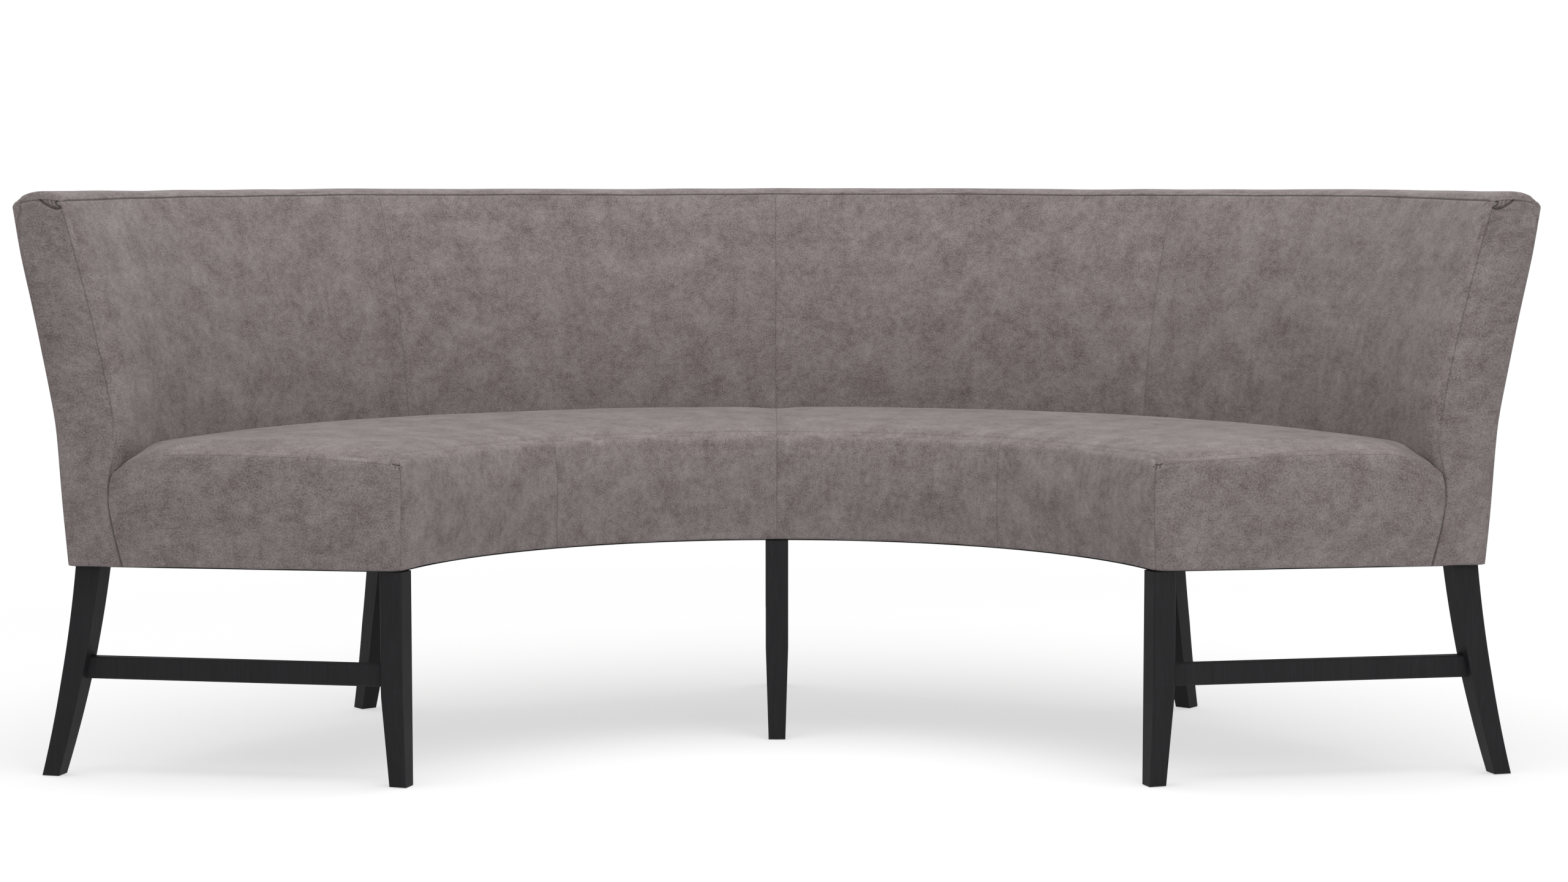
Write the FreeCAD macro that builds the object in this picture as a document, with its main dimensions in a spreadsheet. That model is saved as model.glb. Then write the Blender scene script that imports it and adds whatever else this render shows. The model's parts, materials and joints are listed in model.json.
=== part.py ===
import FreeCAD, Part
import os
import re
import Sketcher

# Half-round upholstered banquette bench, in millimetres.
# Plan sizes are polar, about the upright axis of the arc: a radius, and an angle from the bench's middle
# line, positive to the right as seen from the open side. The frame has +X to the right, +Y to the back and
# +Z up, and its origin on the floor, under the middle of the whole bench.

SIZES = {
    "overall_height": 880,
    # Plan of the arc
    "front_radius": 575,
    "seat_depth": 415,
    "corner_angle": 73.3,
    "end_angle": 81.5,
    "side_seam_angle": 37.2,
    "sweep_angle": 84,
    # Seat
    "leg_height": 322,
    "seat_foam_depth": 61,
    "seat_rise": 9,
    "seat_crown": 8,
    "front_bulge": 3,
    "seat_edge_round": 18,
    "edge_bow_share": 0.207,
    # Back
    "back_inner_top_depth": 90,
    "back_top_depth": 78,
    "back_knee_depth": 107,
    "back_knee_height": 37,
    "back_foot_depth": 91,
    "back_inner_crown": 14,
    "top_crown": 5,
    "back_outer_round": 13,
    "tuck_rise": 25,
    "end_bulge": 3,
    # Cover and foam
    "cover_thickness": 2,
    "cover_gap": 0.3,
    "dust_cover_thickness": 1,
    "dust_cover_inset": 6,
    # Timber frame
    "frame_inset": 12,
    "fit_gap": 0.3,
    "frame_rise": 107,
    "front_rail_thickness": 25,
    "rear_rail_setback": 14,
    "rear_rail_thickness": 26,
    "end_rail_thickness": 25,
    "rib_thickness": 25,
    "rib_drop": 12,
    "webbing_width": 50,
    "webbing_thickness": 3,
    "webbing_step_angle": 9.3,
    "webbing_lap": 20,
    "post_knee_height": 10,
    "post_setback": 28,
    "housing_depth": 8,
    "tenon_length": 12,
    "tenon_thickness": 12,
    "tenon_shoulder": 15,
    "tenon_foot": 52,
    "top_rail_drop": 16,
    "top_rail_thickness": 27,
    "lower_rail_lift": 47,
    "lower_rail_rise": 40,
    "lower_rail_depth": 20,
    "post_thickness": 32,
    "gable_thickness": 15,
    "block_leg": 70,
    "leg_block_width": 32,
    # Legs
    "leg_inset": 2,
    "leg_side": 36,
    "leg_foot_side": 27,
    "leg_taper_height": 150,
    "leg_edge_round": 1.8,
    "corner_leg_angle": 71.4,
    "sabre_inset": 0.5,
    "sabre_top_depth": 40,
    "sabre_foot_depth": 27,
    "sabre_sweep": 64,
    "sabre_bow": 7,
    "end_sabre_angle": 75.15,
    "side_sabre_angle": 38.2,
    # Stretchers
    "stretcher_height": 150,
    "stretcher_rise": 33,
    "stretcher_thickness": 20,
    "stretcher_offset": 4,
    # Glides, leg tenons and dowels
    "glide_radius": 9,
    "glide_thickness": 4,
    "glide_proud": 1,
    "peg_side": 14,
    "peg_rise": 45,
    "hole_gap": 0.2,
    "dowel_radius": 5,
    "dowel_depth": 14,
    "overrun": 5,
    "trim_lead": 60,
}

# Places that follow from the sizes above
DERIVED = {
    "junction_radius": "front_radius + seat_depth",
    "back_inner_top_radius": "junction_radius + back_inner_top_depth",
    "back_top_radius": "back_inner_top_radius + back_top_depth",
    "back_bend_radius": "junction_radius + back_knee_depth",
    "back_foot_radius": "junction_radius + back_foot_depth",
    "sabre_top_radius": "back_foot_radius - sabre_inset",
    "seat_base": "leg_height + dust_cover_thickness",
    "deck_height": "seat_base + frame_rise",
    "deck_top": "deck_height + webbing_thickness",
    "seat_seam_height": "deck_top + seat_foam_depth",
    "junction_height": "seat_seam_height + seat_rise",
    "tuck_height": "deck_top + tuck_rise",
    "back_bend_height": "junction_height + back_knee_height",
    "back_seam_height": "overall_height - top_crown",
    "corner_x": "front_radius * sin(corner_angle)",
    "corner_y": "front_radius * cos(corner_angle)",
    "axis_y": "-(corner_y + back_top_radius) / 2",
    "along_x": "sin(end_angle)",
    "along_y": "cos(end_angle)",
    "corner_along": "corner_x * along_x + corner_y * along_y",
    "corner_out": "corner_y * along_x - corner_x * along_y",
    "trim_reach": "back_top_radius - front_radius + trim_lead",
    "trim_depth": "back_top_radius * sin(sweep_angle - end_angle) + corner_out + trim_lead",
    "skin_gap": "cover_thickness + cover_gap",
    "front_rail_back_radius": "front_radius + frame_inset + front_rail_thickness",
    "rear_rail_front_radius": "junction_radius + rear_rail_setback",
    "rear_rail_back_radius": "rear_rail_front_radius + rear_rail_thickness",
    "post_front_radius": "rear_rail_back_radius + fit_gap",
    "top_rail_top": "back_seam_height - top_rail_drop",
    "top_rail_underside": "top_rail_top - top_rail_thickness",
    "lower_rail_height": "tuck_height + lower_rail_lift",
    "post_top_radius": "back_inner_top_radius + post_setback",
    "post_bend_height": "deck_height + post_knee_height",
    "post_slope": "(post_top_radius - post_front_radius) / (top_rail_underside - post_bend_height)",
    "front_leg_radius": "front_radius + leg_inset",
    "sabre_centre_radius": "sabre_top_radius - sabre_top_depth / 2",
    "front_leg_centre": "front_leg_radius + leg_side / 2",
    "front_peg_radius": "front_radius + frame_inset + front_rail_thickness / 2",
    "rim_height": "back_seam_height - back_outer_round",
    "rake_slope": "(back_top_radius - back_bend_radius) / (rim_height - back_bend_height)",
    "trim_half": "trim_reach / 2 - trim_lead / 2",
    "end_drop": "end_bulge * ((trim_half + trim_lead) ^ 2 / trim_half ^ 2 - 1)",
    "leg_shave": "leg_side - leg_foot_side",
    "foot_radius": "front_leg_radius + leg_foot_side / 2",
    "sabre_foot_radius": "sabre_top_radius + sabre_sweep - sabre_foot_depth / 2",
    "stretcher_drop_share": "1 - (stretcher_height + stretcher_rise / 2) / leg_height",
    "sabre_lean": "sabre_foot_radius - sabre_centre_radius",
    "stretcher_far_radius": "sabre_centre_radius + sabre_lean * stretcher_drop_share",
    "stretcher_near_x": "front_leg_centre * sin(corner_leg_angle)",
    "stretcher_near_y": "front_leg_centre * cos(corner_leg_angle)",
    "stretcher_run_x": "stretcher_far_radius * sin(end_sabre_angle) - stretcher_near_x",
    "stretcher_run_y": "stretcher_far_radius * cos(end_sabre_angle) - stretcher_near_y",
    "stretcher_length": "sqrt(stretcher_run_x ^ 2 + stretcher_run_y ^ 2)",
    "stretcher_bearing": "90 - atan(stretcher_run_y / stretcher_run_x) / 1 deg",
}

# Where the points of a bow lie between its ends
MIDDLE_SHARES = (0.5,)
CROWN_SHARES = (0.33, 0.67)

# Flat sides of the small round pieces
ROUND_SIDES = 10

# Where the legs' tenons and feet stand: angle, distance from the axis and, for feet, the shift sideways
LEG_SPOTS = [("0", "front_peg_radius"), ("corner_leg_angle", "front_peg_radius"),
             ("-corner_leg_angle", "front_peg_radius"), ("0", "sabre_centre_radius"),
             ("side_sabre_angle", "sabre_centre_radius"), ("-side_sabre_angle", "sabre_centre_radius"),
             ("end_sabre_angle", "sabre_centre_radius"), ("-end_sabre_angle", "sabre_centre_radius")]
FOOT_SPOTS = [("0", "foot_radius", "0"), ("corner_leg_angle", "foot_radius", "-leg_shave / 2"),
              ("-corner_leg_angle", "foot_radius", "leg_shave / 2"), ("0", "sabre_foot_radius", "0"),
              ("side_sabre_angle", "sabre_foot_radius", "0"), ("-side_sabre_angle", "sabre_foot_radius", "0"),
              ("end_sabre_angle", "sabre_foot_radius", "0"), ("-end_sabre_angle", "sabre_foot_radius", "0")]

UP = "vector(0; 0; 1)"
NAMES = re.compile(r"\b(" + "|".join(list(SIZES) + list(DERIVED)) + r")\b")

document = FreeCAD.newDocument("banquette")
sheet = document.addObject("Spreadsheet::Sheet", "sizes")


def fill_sheet():
    """Write the driving dimensions and what follows from them, each with an alias."""
    rows = [(name, str(number)) for name, number in SIZES.items()]
    rows += [(name, "=" + formula) for name, formula in DERIVED.items()]
    for row, (name, content) in enumerate(rows, start=1):
        sheet.set("A%d" % row, name)
        sheet.set("B%d" % row, content)
        sheet.setAlias("B%d" % row, name)
    document.recompute()


def linked(formula):
    """The formula with every size read from the sheet."""
    return NAMES.sub(r"sizes.\1", str(formula))


def value(formula):
    """The number that a formula has now."""
    return float(sheet.evalExpression(linked(formula)))


def bind(item, **formulas):
    """Tie properties of an object to formulas."""
    for name, formula in formulas.items():
        item.setExpression(name, linked(formula))


def stand(item, angle="0", x="0", radius="0", height="0"):
    """Place an object in the frame that looks out from the arc's axis at an angle."""
    turn = "rotation(%s; -(%s))" % (UP, angle)
    spot = "vector((%s) * cos(%s) + (%s) * sin(%s); axis_y - (%s) * sin(%s) + (%s) * cos(%s); %s)" % (
        x, angle, radius, angle, x, angle, radius, angle, height)
    bind(item, Placement="placement(%s; %s)" % (spot, turn))
    return item


# Sketches and features

def new_body(label, angle="0"):
    """A body on the arc's axis, whose YZ plane is the upright plane at the given angle."""
    body = document.addObject("PartDesign::Body", label)
    body.Label = label
    return stand(body, angle)


def new_sketch(body, plane, height=None):
    """A sketch on one of the body's own origin planes, or at a height over it."""
    sketch = body.newObject("Sketcher::SketchObject", body.Name + "_sketch")
    support = [item for item in body.Origin.OriginFeatures if item.Role == plane][0]
    sketch.AttachmentSupport = [(support, "")]
    sketch.MapMode = "FlatFace"
    if height:
        sketch.setExpression("AttachmentOffset.Base.z", linked(height))
    return sketch


def hold(sketch, geometry, end, point):
    """Tie one sketch point to its two formulas."""
    for kind, formula, axis in (("DistanceX", point[0], -2), ("DistanceY", point[1], -1)):
        if formula == "0":
            sketch.addConstraint(Sketcher.Constraint("PointOnObject", geometry, end, axis))
            continue
        number = sketch.addConstraint(Sketcher.Constraint(kind, -1, 1, geometry, end, value(formula)))
        name = "%s_%d" % (kind.lower(), number)
        sketch.renameConstraint(number, name)
        sketch.setExpression("Constraints." + name, linked(formula))


def draw_outline(sketch, points, through=None):
    """Draw a closed outline; through gives the middle point of the sides that are arcs, by number."""
    through = through or {}
    spots = [FreeCAD.Vector(value(x), value(y), 0) for x, y in points]
    first = None
    previous = None
    for number, spot in enumerate(spots):
        target = spots[(number + 1) % len(spots)]
        head, tail = 1, 2
        if number in through:
            middle = FreeCAD.Vector(value(through[number][0]), value(through[number][1]), 0)
            side = sketch.addGeometry(Part.Arc(spot, middle, target), False)
            if (sketch.getPoint(side, 1) - spot).Length > (sketch.getPoint(side, 2) - spot).Length:
                head, tail = 2, 1
            mark = sketch.addGeometry(Part.Point(middle), True)
            hold(sketch, mark, 1, through[number])
            sketch.addConstraint(Sketcher.Constraint("PointOnObject", mark, 1, side))
        else:
            side = sketch.addGeometry(Part.LineSegment(spot, target), False)
        hold(sketch, side, head, points[number])
        if previous:
            sketch.addConstraint(Sketcher.Constraint("Coincident", previous[0], previous[1], side, head))
        first = first or (side, head)
        previous = (side, tail)
    sketch.addConstraint(Sketcher.Constraint("Coincident", previous[0], previous[1], first[0], first[1]))


def outline(body, plane, points, through=None):
    """A sketch with one closed outline."""
    sketch = new_sketch(body, plane)
    draw_outline(sketch, points, through)
    return sketch


def revolve(body, points):
    """Turn an outline of radius and height about the arc's axis, past both ends of the bench."""
    turn = body.newObject("PartDesign::Revolution", body.Name + "_turn")
    turn.Profile = outline(body, "YZ_Plane", points)
    turn.ReferenceAxis = (turn.Profile[0], ["V_Axis"])
    turn.Midplane = True
    bind(turn, Angle="2 * sweep_angle")


def end_point(inset, along, beyond, side):
    """A point in plan, from the corner of the seat: along the end face and out of it."""
    x = "(corner_x + (%s) * along_x + (%s - (%s)) * along_y)" % (along, beyond, inset)
    y = "corner_y + (%s) * along_y - (%s - (%s)) * along_x" % (along, beyond, inset)
    return "%s * %s" % (side, x), y


def trim_ends(body, inset, crowned=False):
    """Cut a ring off at both end faces, or at a distance inside them; crowned ends bulge a little."""
    sketch = new_sketch(body, "XY_Plane")
    drop = "-end_drop" if crowned else "0"
    for side in (1, -1):
        points = [end_point(inset, "-trim_lead", drop, side), end_point(inset, "trim_reach", drop, side),
                  end_point(inset, "trim_reach", "trim_depth", side),
                  end_point(inset, "-trim_lead", "trim_depth", side)]
        middle = end_point(inset, "trim_half", "end_bulge", side)
        draw_outline(sketch, points, {0: middle} if crowned else None)
    cut_up(body, sketch)


def cut_up(body, sketch):
    """Pocket a sketch on the floor plane upward, through all."""
    pocket = body.newObject("PartDesign::Pocket", body.Name + "_cut")
    pocket.Profile = sketch
    pocket.Reversed = True
    pocket.Type = "ThroughAll"


def along_at(radius, inset):
    """How far along the end face a radius is reached, on a line that lies inside the face."""
    return "sqrt((%s) ^ 2 - (corner_out + (%s)) ^ 2) - corner_along" % (radius, inset)


def ring(label, points, inset="frame_inset"):
    """A curved member: an outline turned about the axis and cut off at both ends."""
    body = new_body(label)
    revolve(body, points)
    trim_ends(body, inset)
    return body


def slab(label, points, thickness, angle="0", through=None):
    """A flat member that stands upright in the plane at an angle."""
    body = new_body(label, angle)
    pad = body.newObject("PartDesign::Pad", label + "_pad")
    pad.Profile = outline(body, "YZ_Plane", points, through)
    pad.Midplane = True
    bind(pad, Length=thickness)
    return body


# Solids made from others

def boolean(kind, label, base, tool):
    """A cut or a common of two objects."""
    item = document.addObject("Part::" + kind, label)
    item.Label = label
    item.Base = base
    item.Tool = tool
    return item


def group(label, members):
    """Identical pieces that share one node."""
    item = document.addObject("Part::Compound", label)
    item.Label = label
    item.Links = members
    return item


def mirrored(label, source):
    """The left-hand copy of a right-hand piece."""
    item = document.addObject("Part::Mirroring", label)
    item.Label = label
    item.Source = source
    item.Normal = FreeCAD.Vector(1, 0, 0)
    return item


def primitive(kind, label, **formulas):
    item = document.addObject("Part::" + kind, label)
    item.Label = label
    bind(item, **formulas)
    return item


def sector(label, start, end, low, high):
    """Everything between two angles and two heights."""
    item = primitive("Cylinder", label, Radius="back_top_radius + overrun",
                     Angle="%s - (%s)" % (end, start), Height="%s - (%s)" % (high, low))
    return stand(item, "%s - 90" % end, height=low)


def cone_sector(label, start, end):
    """Everything between two angles on the sitter's side of the middle of the back."""
    item = primitive("Cone", label, Radius1="(junction_radius + back_foot_radius) / 2",
                     Radius2="(back_inner_top_radius + back_top_radius) / 2",
                     Angle="%s - (%s)" % (end, start),
                     Height="back_seam_height - cover_thickness - seat_base")
    return stand(item, "%s - 90" % end, height="seat_base")


def end_slab(label, inset, thickness, low, high):
    """A slab along the right-hand end face, from a distance inside it."""
    item = primitive("Box", label, Length="trim_reach + trim_lead", Width=thickness,
                     Height="%s - (%s)" % (high, low))
    x, y = end_point(inset, "-trim_lead", "0", 1)
    bind(item, Placement="placement(vector(%s; axis_y + %s; %s); rotation(%s; 90 - end_angle))"
         % (x, y, low, UP))
    return item


def lay(item, bearing, x, y, height):
    """Lay an upright primitive level, along a bearing from the middle line; x and y are from the axis."""
    turn = "rotation(vector(-cos(%s); sin(%s); 0); 90)" % (bearing, bearing)
    bind(item, Placement="placement(vector(%s; axis_y + %s; %s); %s)" % (x, y, height, turn))
    return item


# Upholstered forms, at a distance inside the outer face of the cover

def bowed(start, end, bow_out, bow_up, shares):
    """Points between two others along a shallow bow, without the ends."""
    points = []
    for share in shares:
        lift = 4 * share * (1 - share)
        points.append(tuple("(%s) + (%s - (%s)) * %s + (%s) * %s" % (first, last, first, share, bow, lift)
                            for first, last, bow in zip(start, end, (bow_out, bow_up))))
    return points


def seat_form(label, inset, crowned=False):
    """The padded seat; crowned, it has the bulged front, soft edge and crowned top of the cover."""
    body = new_body(label)
    front = "front_radius + " + inset
    rear = "junction_radius - cover_gap - " + inset
    foot, lip = (front, "seat_base"), (front, "seat_seam_height - seat_edge_round")
    seam = ("front_radius + seat_edge_round", "seat_seam_height - (%s)" % inset)
    crease = (rear, "junction_height - (%s)" % inset)
    if crowned:
        edge_bow = "seat_edge_round * edge_bow_share"
        points = [foot] + bowed(foot, lip, "-front_bulge", "0", MIDDLE_SHARES) + [lip]
        points += bowed(lip, seam, "-" + edge_bow, edge_bow, MIDDLE_SHARES) + [seam]
        points += bowed(seam, crease, "0", "seat_crown", CROWN_SHARES)
    else:
        points = [foot, lip, seam]
    revolve(body, points + [crease, (rear, "seat_base")])
    trim_ends(body, inset, crowned)
    return body


def back_outside(inset):
    """The outside line of the back, from the rounded top down: raked, then nearly upright."""
    return [("back_top_radius - (%s)" % inset, "rim_height"),
            ("back_bend_radius - (%s)" % inset, "back_bend_height")]


def back_form(label, inset, crowned=False):
    """The padded back; crowned, it has the full inside face and top of the cover's outer face."""
    body = new_body(label)
    front = "junction_radius + " + inset
    top = "back_seam_height - (%s)" % inset
    crease = (front, "junction_height")
    brow = ("back_inner_top_radius + " + inset, top)
    rim = ("back_top_radius - back_outer_round", top)
    outside = back_outside(inset) + [("back_foot_radius - (%s)" % inset, "seat_base")]
    points = [(front, "seat_base"), crease]
    if crowned:
        points += bowed(crease, brow, "-back_inner_crown", "0", CROWN_SHARES) + [brow]
        points += bowed(brow, rim, "0", "top_crown", MIDDLE_SHARES) + [rim]
    else:
        points += [brow, rim]
    revolve(body, points + outside)
    trim_ends(body, inset, crowned)
    return body


def opened(label, points, inset):
    """A ring-shaped tool that opens a hollow cover towards the timber frame."""
    body = new_body(label)
    revolve(body, points)
    trim_ends(body, inset)
    return body


def seat_skin():
    """The whole seat cover, hollow, open underneath and behind."""
    shell = boolean("Cut", "seat_shell", seat_form("seat_outer_form", "0", True),
                    seat_form("seat_inner_form", "cover_thickness"))
    low, inside = "seat_base - overrun", "junction_radius - frame_inset"
    points = rectangle(inside, "junction_radius + overrun", low, "seat_seam_height")
    return boolean("Cut", "seat_skin", shell, opened("seat_shell_tool", points, "cover_thickness"))


def back_skin():
    """The whole back cover, hollow, open underneath and towards the seat below the crease."""
    shell = boolean("Cut", "back_shell", back_form("back_outer_form", "0", True),
                    back_form("back_inner_form", "cover_thickness"))
    low, outside = "seat_base - overrun", "junction_radius + frame_inset"
    points = rectangle("junction_radius - overrun", outside, low, "tuck_height")
    return boolean("Cut", "back_skin", shell, opened("back_shell_tool", points, "frame_inset"))


def seat_covers(skin):
    """The seat cover's panels, parted at its seams."""
    low, high = "seat_base - overrun", "seat_seam_height"
    slab_tool = end_slab("seat_end_slab", "-end_bulge", "end_bulge + cover_thickness", low, high)
    panel = boolean("Common", "seat_end_panel_right", skin, slab_tool)
    top = boolean("Common", "seat_cover_top_right", skin,
                  sector("seat_top_sector", "0", "sweep_angle", high, "overall_height"))
    near_border = boolean("Common", "seat_border_right", skin,
                          sector("border_sector", "0", "side_seam_angle", low, high))
    far_part = boolean("Common", "far_border_part", skin,
                       sector("far_border_sector", "side_seam_angle", "sweep_angle", low, high))
    far_border = boolean("Cut", "seat_border_outer_right", far_part, slab_tool)
    return [panel, top, near_border, far_border]


def back_covers(skin):
    """The back cover's panels, parted at its seams."""
    low, high = "seat_base - overrun", "back_seam_height - cover_thickness"
    slab_tool = end_slab("back_end_slab", "-end_bulge", "end_bulge + cover_thickness", low, high)
    cap = boolean("Common", "back_end_cap_right", skin, slab_tool)
    band = boolean("Common", "back_top_band", skin,
                   sector("band_sector", "-90", "90", high, "overall_height + overrun"))
    panels = [cap]
    for name, start, end in (("", "0", "side_seam_angle"), ("_outer", "side_seam_angle", "sweep_angle")):
        cone = cone_sector("inside_cone" + name, start, end)
        inside = boolean("Common", "inside_part" + name, skin, cone)
        panels.append(boolean("Cut", "back_inside%s_right" % name, inside, slab_tool))
    whole = boolean("Cut", "outside_tool", sector("outside_sector", "0", "sweep_angle", low, high),
                    cone_sector("outside_cone", "0", "sweep_angle"))
    outside = boolean("Common", "outside_part", skin, whole)
    panels.append(boolean("Cut", "back_outside_right", outside, slab_tool))
    return panels, band


def seat_foam():
    """The seat pad, which also wraps the front rail and the end rails."""
    low, high = "seat_base - overrun", "deck_top + cover_gap"
    front = "front_radius + frame_inset - fit_gap"
    points = rectangle(front, "junction_radius + overrun", low, high)
    room = opened("seat_frame_room", points, "frame_inset - fit_gap")
    return boolean("Cut", "seat_foam", seat_form("seat_foam_form", "skin_gap"), room)


def back_foam():
    """The back pad, in front of the posts and over the top rail."""
    low, rail_top = "seat_base - overrun", "top_rail_top + fit_gap"
    front, head = "junction_radius - overrun", post_radius("top_rail_underside", "fit_gap")
    points = [(front, low), (front, "tuck_height"), (post_radius("tuck_height", "fit_gap"), "tuck_height"),
              (head, "top_rail_underside"), (head, rail_top), ("back_top_radius + overrun", rail_top),
              ("back_top_radius + overrun", low)]
    room = opened("back_frame_room", points, "frame_inset - fit_gap")
    return boolean("Cut", "back_foam", back_form("back_foam_form", "skin_gap"), room)


# Timber frame

def post_radius(height, ahead="0"):
    """The radius of the posts' raked front face at a height, or of a face ahead of it."""
    return "post_front_radius + post_slope * (%s - post_bend_height) - (%s)" % (height, ahead)


def outside_radius(height, inset):
    """The radius of the raked outside face at a height, or of a face inside it."""
    return "back_bend_radius + rake_slope * (%s - back_bend_height) - (%s)" % (height, inset)


def rectangle(low_radius, high_radius, low, high):
    return [(low_radius, low), (low_radius, high), (high_radius, high), (high_radius, low)]


def post_outline():
    """The section of a back post: foot let into the seat rail, raked head, notch for the lower rail."""
    notch = "-(lower_rail_depth + fit_gap)"
    notch_low, notch_high = "lower_rail_height - fit_gap", "lower_rail_height + lower_rail_rise + fit_gap"
    rear = "skin_gap"
    housed = "rear_rail_back_radius - housing_depth"
    return [(housed, "seat_base"), (housed, "deck_height"), ("post_front_radius", "deck_height"),
            ("post_front_radius", "post_bend_height"), (post_radius(notch_low), notch_low),
            (post_radius(notch_low, notch), notch_low), (post_radius(notch_high, notch), notch_high),
            (post_radius(notch_high), notch_high),
            (post_radius("top_rail_underside"), "top_rail_underside"),
            (outside_radius("top_rail_underside", rear), "top_rail_underside"),
            ("back_bend_radius - (%s)" % rear, "back_bend_height"),
            ("back_foot_radius - (%s)" % rear, "seat_base")]


def gable():
    """The end board of the back: a post's section without its notch and housing, along the end face."""
    body = new_body("gable_room")
    points = post_outline()
    revolve(body, [("post_front_radius", "seat_base"), points[3]] + points[8:])
    board = end_slab("gable_board", "frame_inset", "gable_thickness", "seat_base", "overall_height")
    return boolean("Common", "back_gable_right", body, board)


def curved_rails():
    """The rails that follow the arc."""
    lower_top = "lower_rail_height + lower_rail_rise"
    behind = "-lower_rail_depth"
    top_front = post_radius("top_rail_underside")
    front = ring("seat_front_rail", rectangle("front_radius + frame_inset", "front_rail_back_radius",
                                              "seat_base", "deck_height"))
    rear = ring("seat_rear_rail", rectangle("rear_rail_front_radius", "rear_rail_back_radius",
                                            "seat_base", "deck_height"))
    top = ring("back_top_rail", [(top_front, "top_rail_underside"), (top_front, "top_rail_top"),
                                 (outside_radius("top_rail_top", "skin_gap"), "top_rail_top"),
                                 (outside_radius("top_rail_underside", "skin_gap"), "top_rail_underside")])
    lower = ring("back_lower_rail", [(post_radius("lower_rail_height"), "lower_rail_height"),
                                     (post_radius(lower_top), lower_top),
                                     (post_radius(lower_top, behind), lower_top),
                                     (post_radius("lower_rail_height", behind), "lower_rail_height")],
                 inset="frame_inset + gable_thickness")
    return front, rear, top, lower


def seat_rib(label, angle, spare="0"):
    """A radial rib with a tenon at both ends; spare makes the tool that cuts its mortises."""
    top = "deck_height - rib_drop"
    near, far = "front_rail_back_radius + fit_gap", "rear_rail_front_radius - fit_gap"
    rib = slab(label + "_web", rectangle(near, far, "seat_base", top), "rib_thickness", angle)
    tongue = rectangle("front_rail_back_radius - tenon_length - " + spare,
                       "rear_rail_front_radius + tenon_length + " + spare,
                       "seat_base + tenon_foot - " + spare, "%s - tenon_shoulder + %s" % (top, spare))
    tongues = slab(label + "_tongue", tongue, "tenon_thickness + 2 * " + spare, angle)
    return boolean("Fuse", label, rib, tongues)


def post(label, angle, thickness="post_thickness"):
    return slab(label, post_outline(), thickness, angle)


def between_rails(label):
    """The room between the two curved seat rails, inside the end faces of the frame."""
    body = new_body(label)
    revolve(body, rectangle("front_rail_back_radius", "rear_rail_front_radius", "seat_base", "deck_height"))
    trim_ends(body, "frame_inset")
    return body


def end_rail(room):
    """The straight rail at the end of the seat, fitted between the curved rails."""
    board = end_slab("end_rail_board", "frame_inset", "end_rail_thickness", "seat_base", "overall_height")
    return boolean("Common", "seat_end_rail_right", room, board)


def corner_blocks(height):
    """Glue blocks in the four corners of the seat frame."""
    inset = "frame_inset + end_rail_thickness + fit_gap"
    room = new_body("block_room")
    inner, outer = "front_rail_back_radius + fit_gap", "rear_rail_front_radius - fit_gap"
    revolve(room, rectangle(inner, outer, "seat_base", height))
    trim_ends(room, inset)
    blocks = []
    for name, radius in (("front", inner), ("rear", outer)):
        cutter = primitive("Box", name + "_block_cutter", Length="sqrt(2) * block_leg",
                           Width="sqrt(2) * block_leg", Height="overall_height")
        x, y = end_point(inset, along_at(radius, inset), "0", 1)
        bind(cutter, Placement="placement(vector(%s + block_leg * cos(end_angle); "
                               "axis_y + %s - block_leg * sin(end_angle); 0); "
                               "rotation(%s; 135 - end_angle))" % (x, y, UP))
        blocks.append(boolean("Common", name + "_corner_block", room, cutter))
    return group("corner_blocks", blocks + [mirrored(block.Label + "_left", block) for block in blocks])


def rear_leg_blocks(mortises):
    """Blocks behind the gables that the end legs are let into."""
    room = new_body("leg_block_room")
    revolve(room, rectangle("post_front_radius", "back_foot_radius - skin_gap", "seat_base", "deck_height"))
    board = end_slab("leg_block_board", "frame_inset + gable_thickness + fit_gap", "leg_block_width",
                     "seat_base", "overall_height")
    block = boolean("Cut", "rear_leg_block", boolean("Common", "leg_block_part", room, board), mortises)
    return group("rear_leg_blocks", [block, mirrored("rear_leg_block_left", block)])


# Legs and stretchers

def soft_outline(left, right, near, far):
    """The outline of a leg's section, its corners taken off."""
    soft = "leg_edge_round"
    points = []
    corners = ((left, near, 1, 1), (right, near, -1, 1), (right, far, -1, -1), (left, far, 1, -1))
    for number, (x, y, across, along) in enumerate(corners):
        beside = ("%s + %d * %s" % (x, across, soft), y)
        ahead = (x, "%s + %d * %s" % (y, along, soft))
        points += [ahead, beside] if number % 2 == 0 else [beside, ahead]
    return points


def pocket_through(body, plane, points):
    """Saw an outline off, right through the body."""
    pocket = body.newObject("PartDesign::Pocket", body.Name + "_saw")
    pocket.Profile = outline(body, plane, points)
    pocket.Type = "ThroughAll"
    pocket.Midplane = plane == "YZ_Plane"


def shave(body, side, amount):
    """Saw a taper off one side of a leg, from the taper height to the foot."""
    face = "%s * leg_side / 2" % side
    foot = "%s * (leg_side / 2 - %s)" % (side, amount)
    out = "%s * (leg_side / 2 + overrun)" % side
    pocket_through(body, "XZ_Plane", [(face, "leg_taper_height"), (foot, "glide_proud"), (foot, "0"),
                                      (out, "0"), (out, "leg_taper_height")])


def peg(label, angle, distance, spare="0"):
    """The square tenon on top of a leg; spare makes the tool that cuts its mortise."""
    side = "(peg_side + 2 * %s)" % spare
    item = primitive("Box", label, Length=side, Width=side, Height="peg_rise + overrun + " + spare)
    return stand(item, angle, x="-%s / 2" % side, radius="%s - %s / 2" % (distance, side),
                 height="leg_height - overrun")


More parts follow.
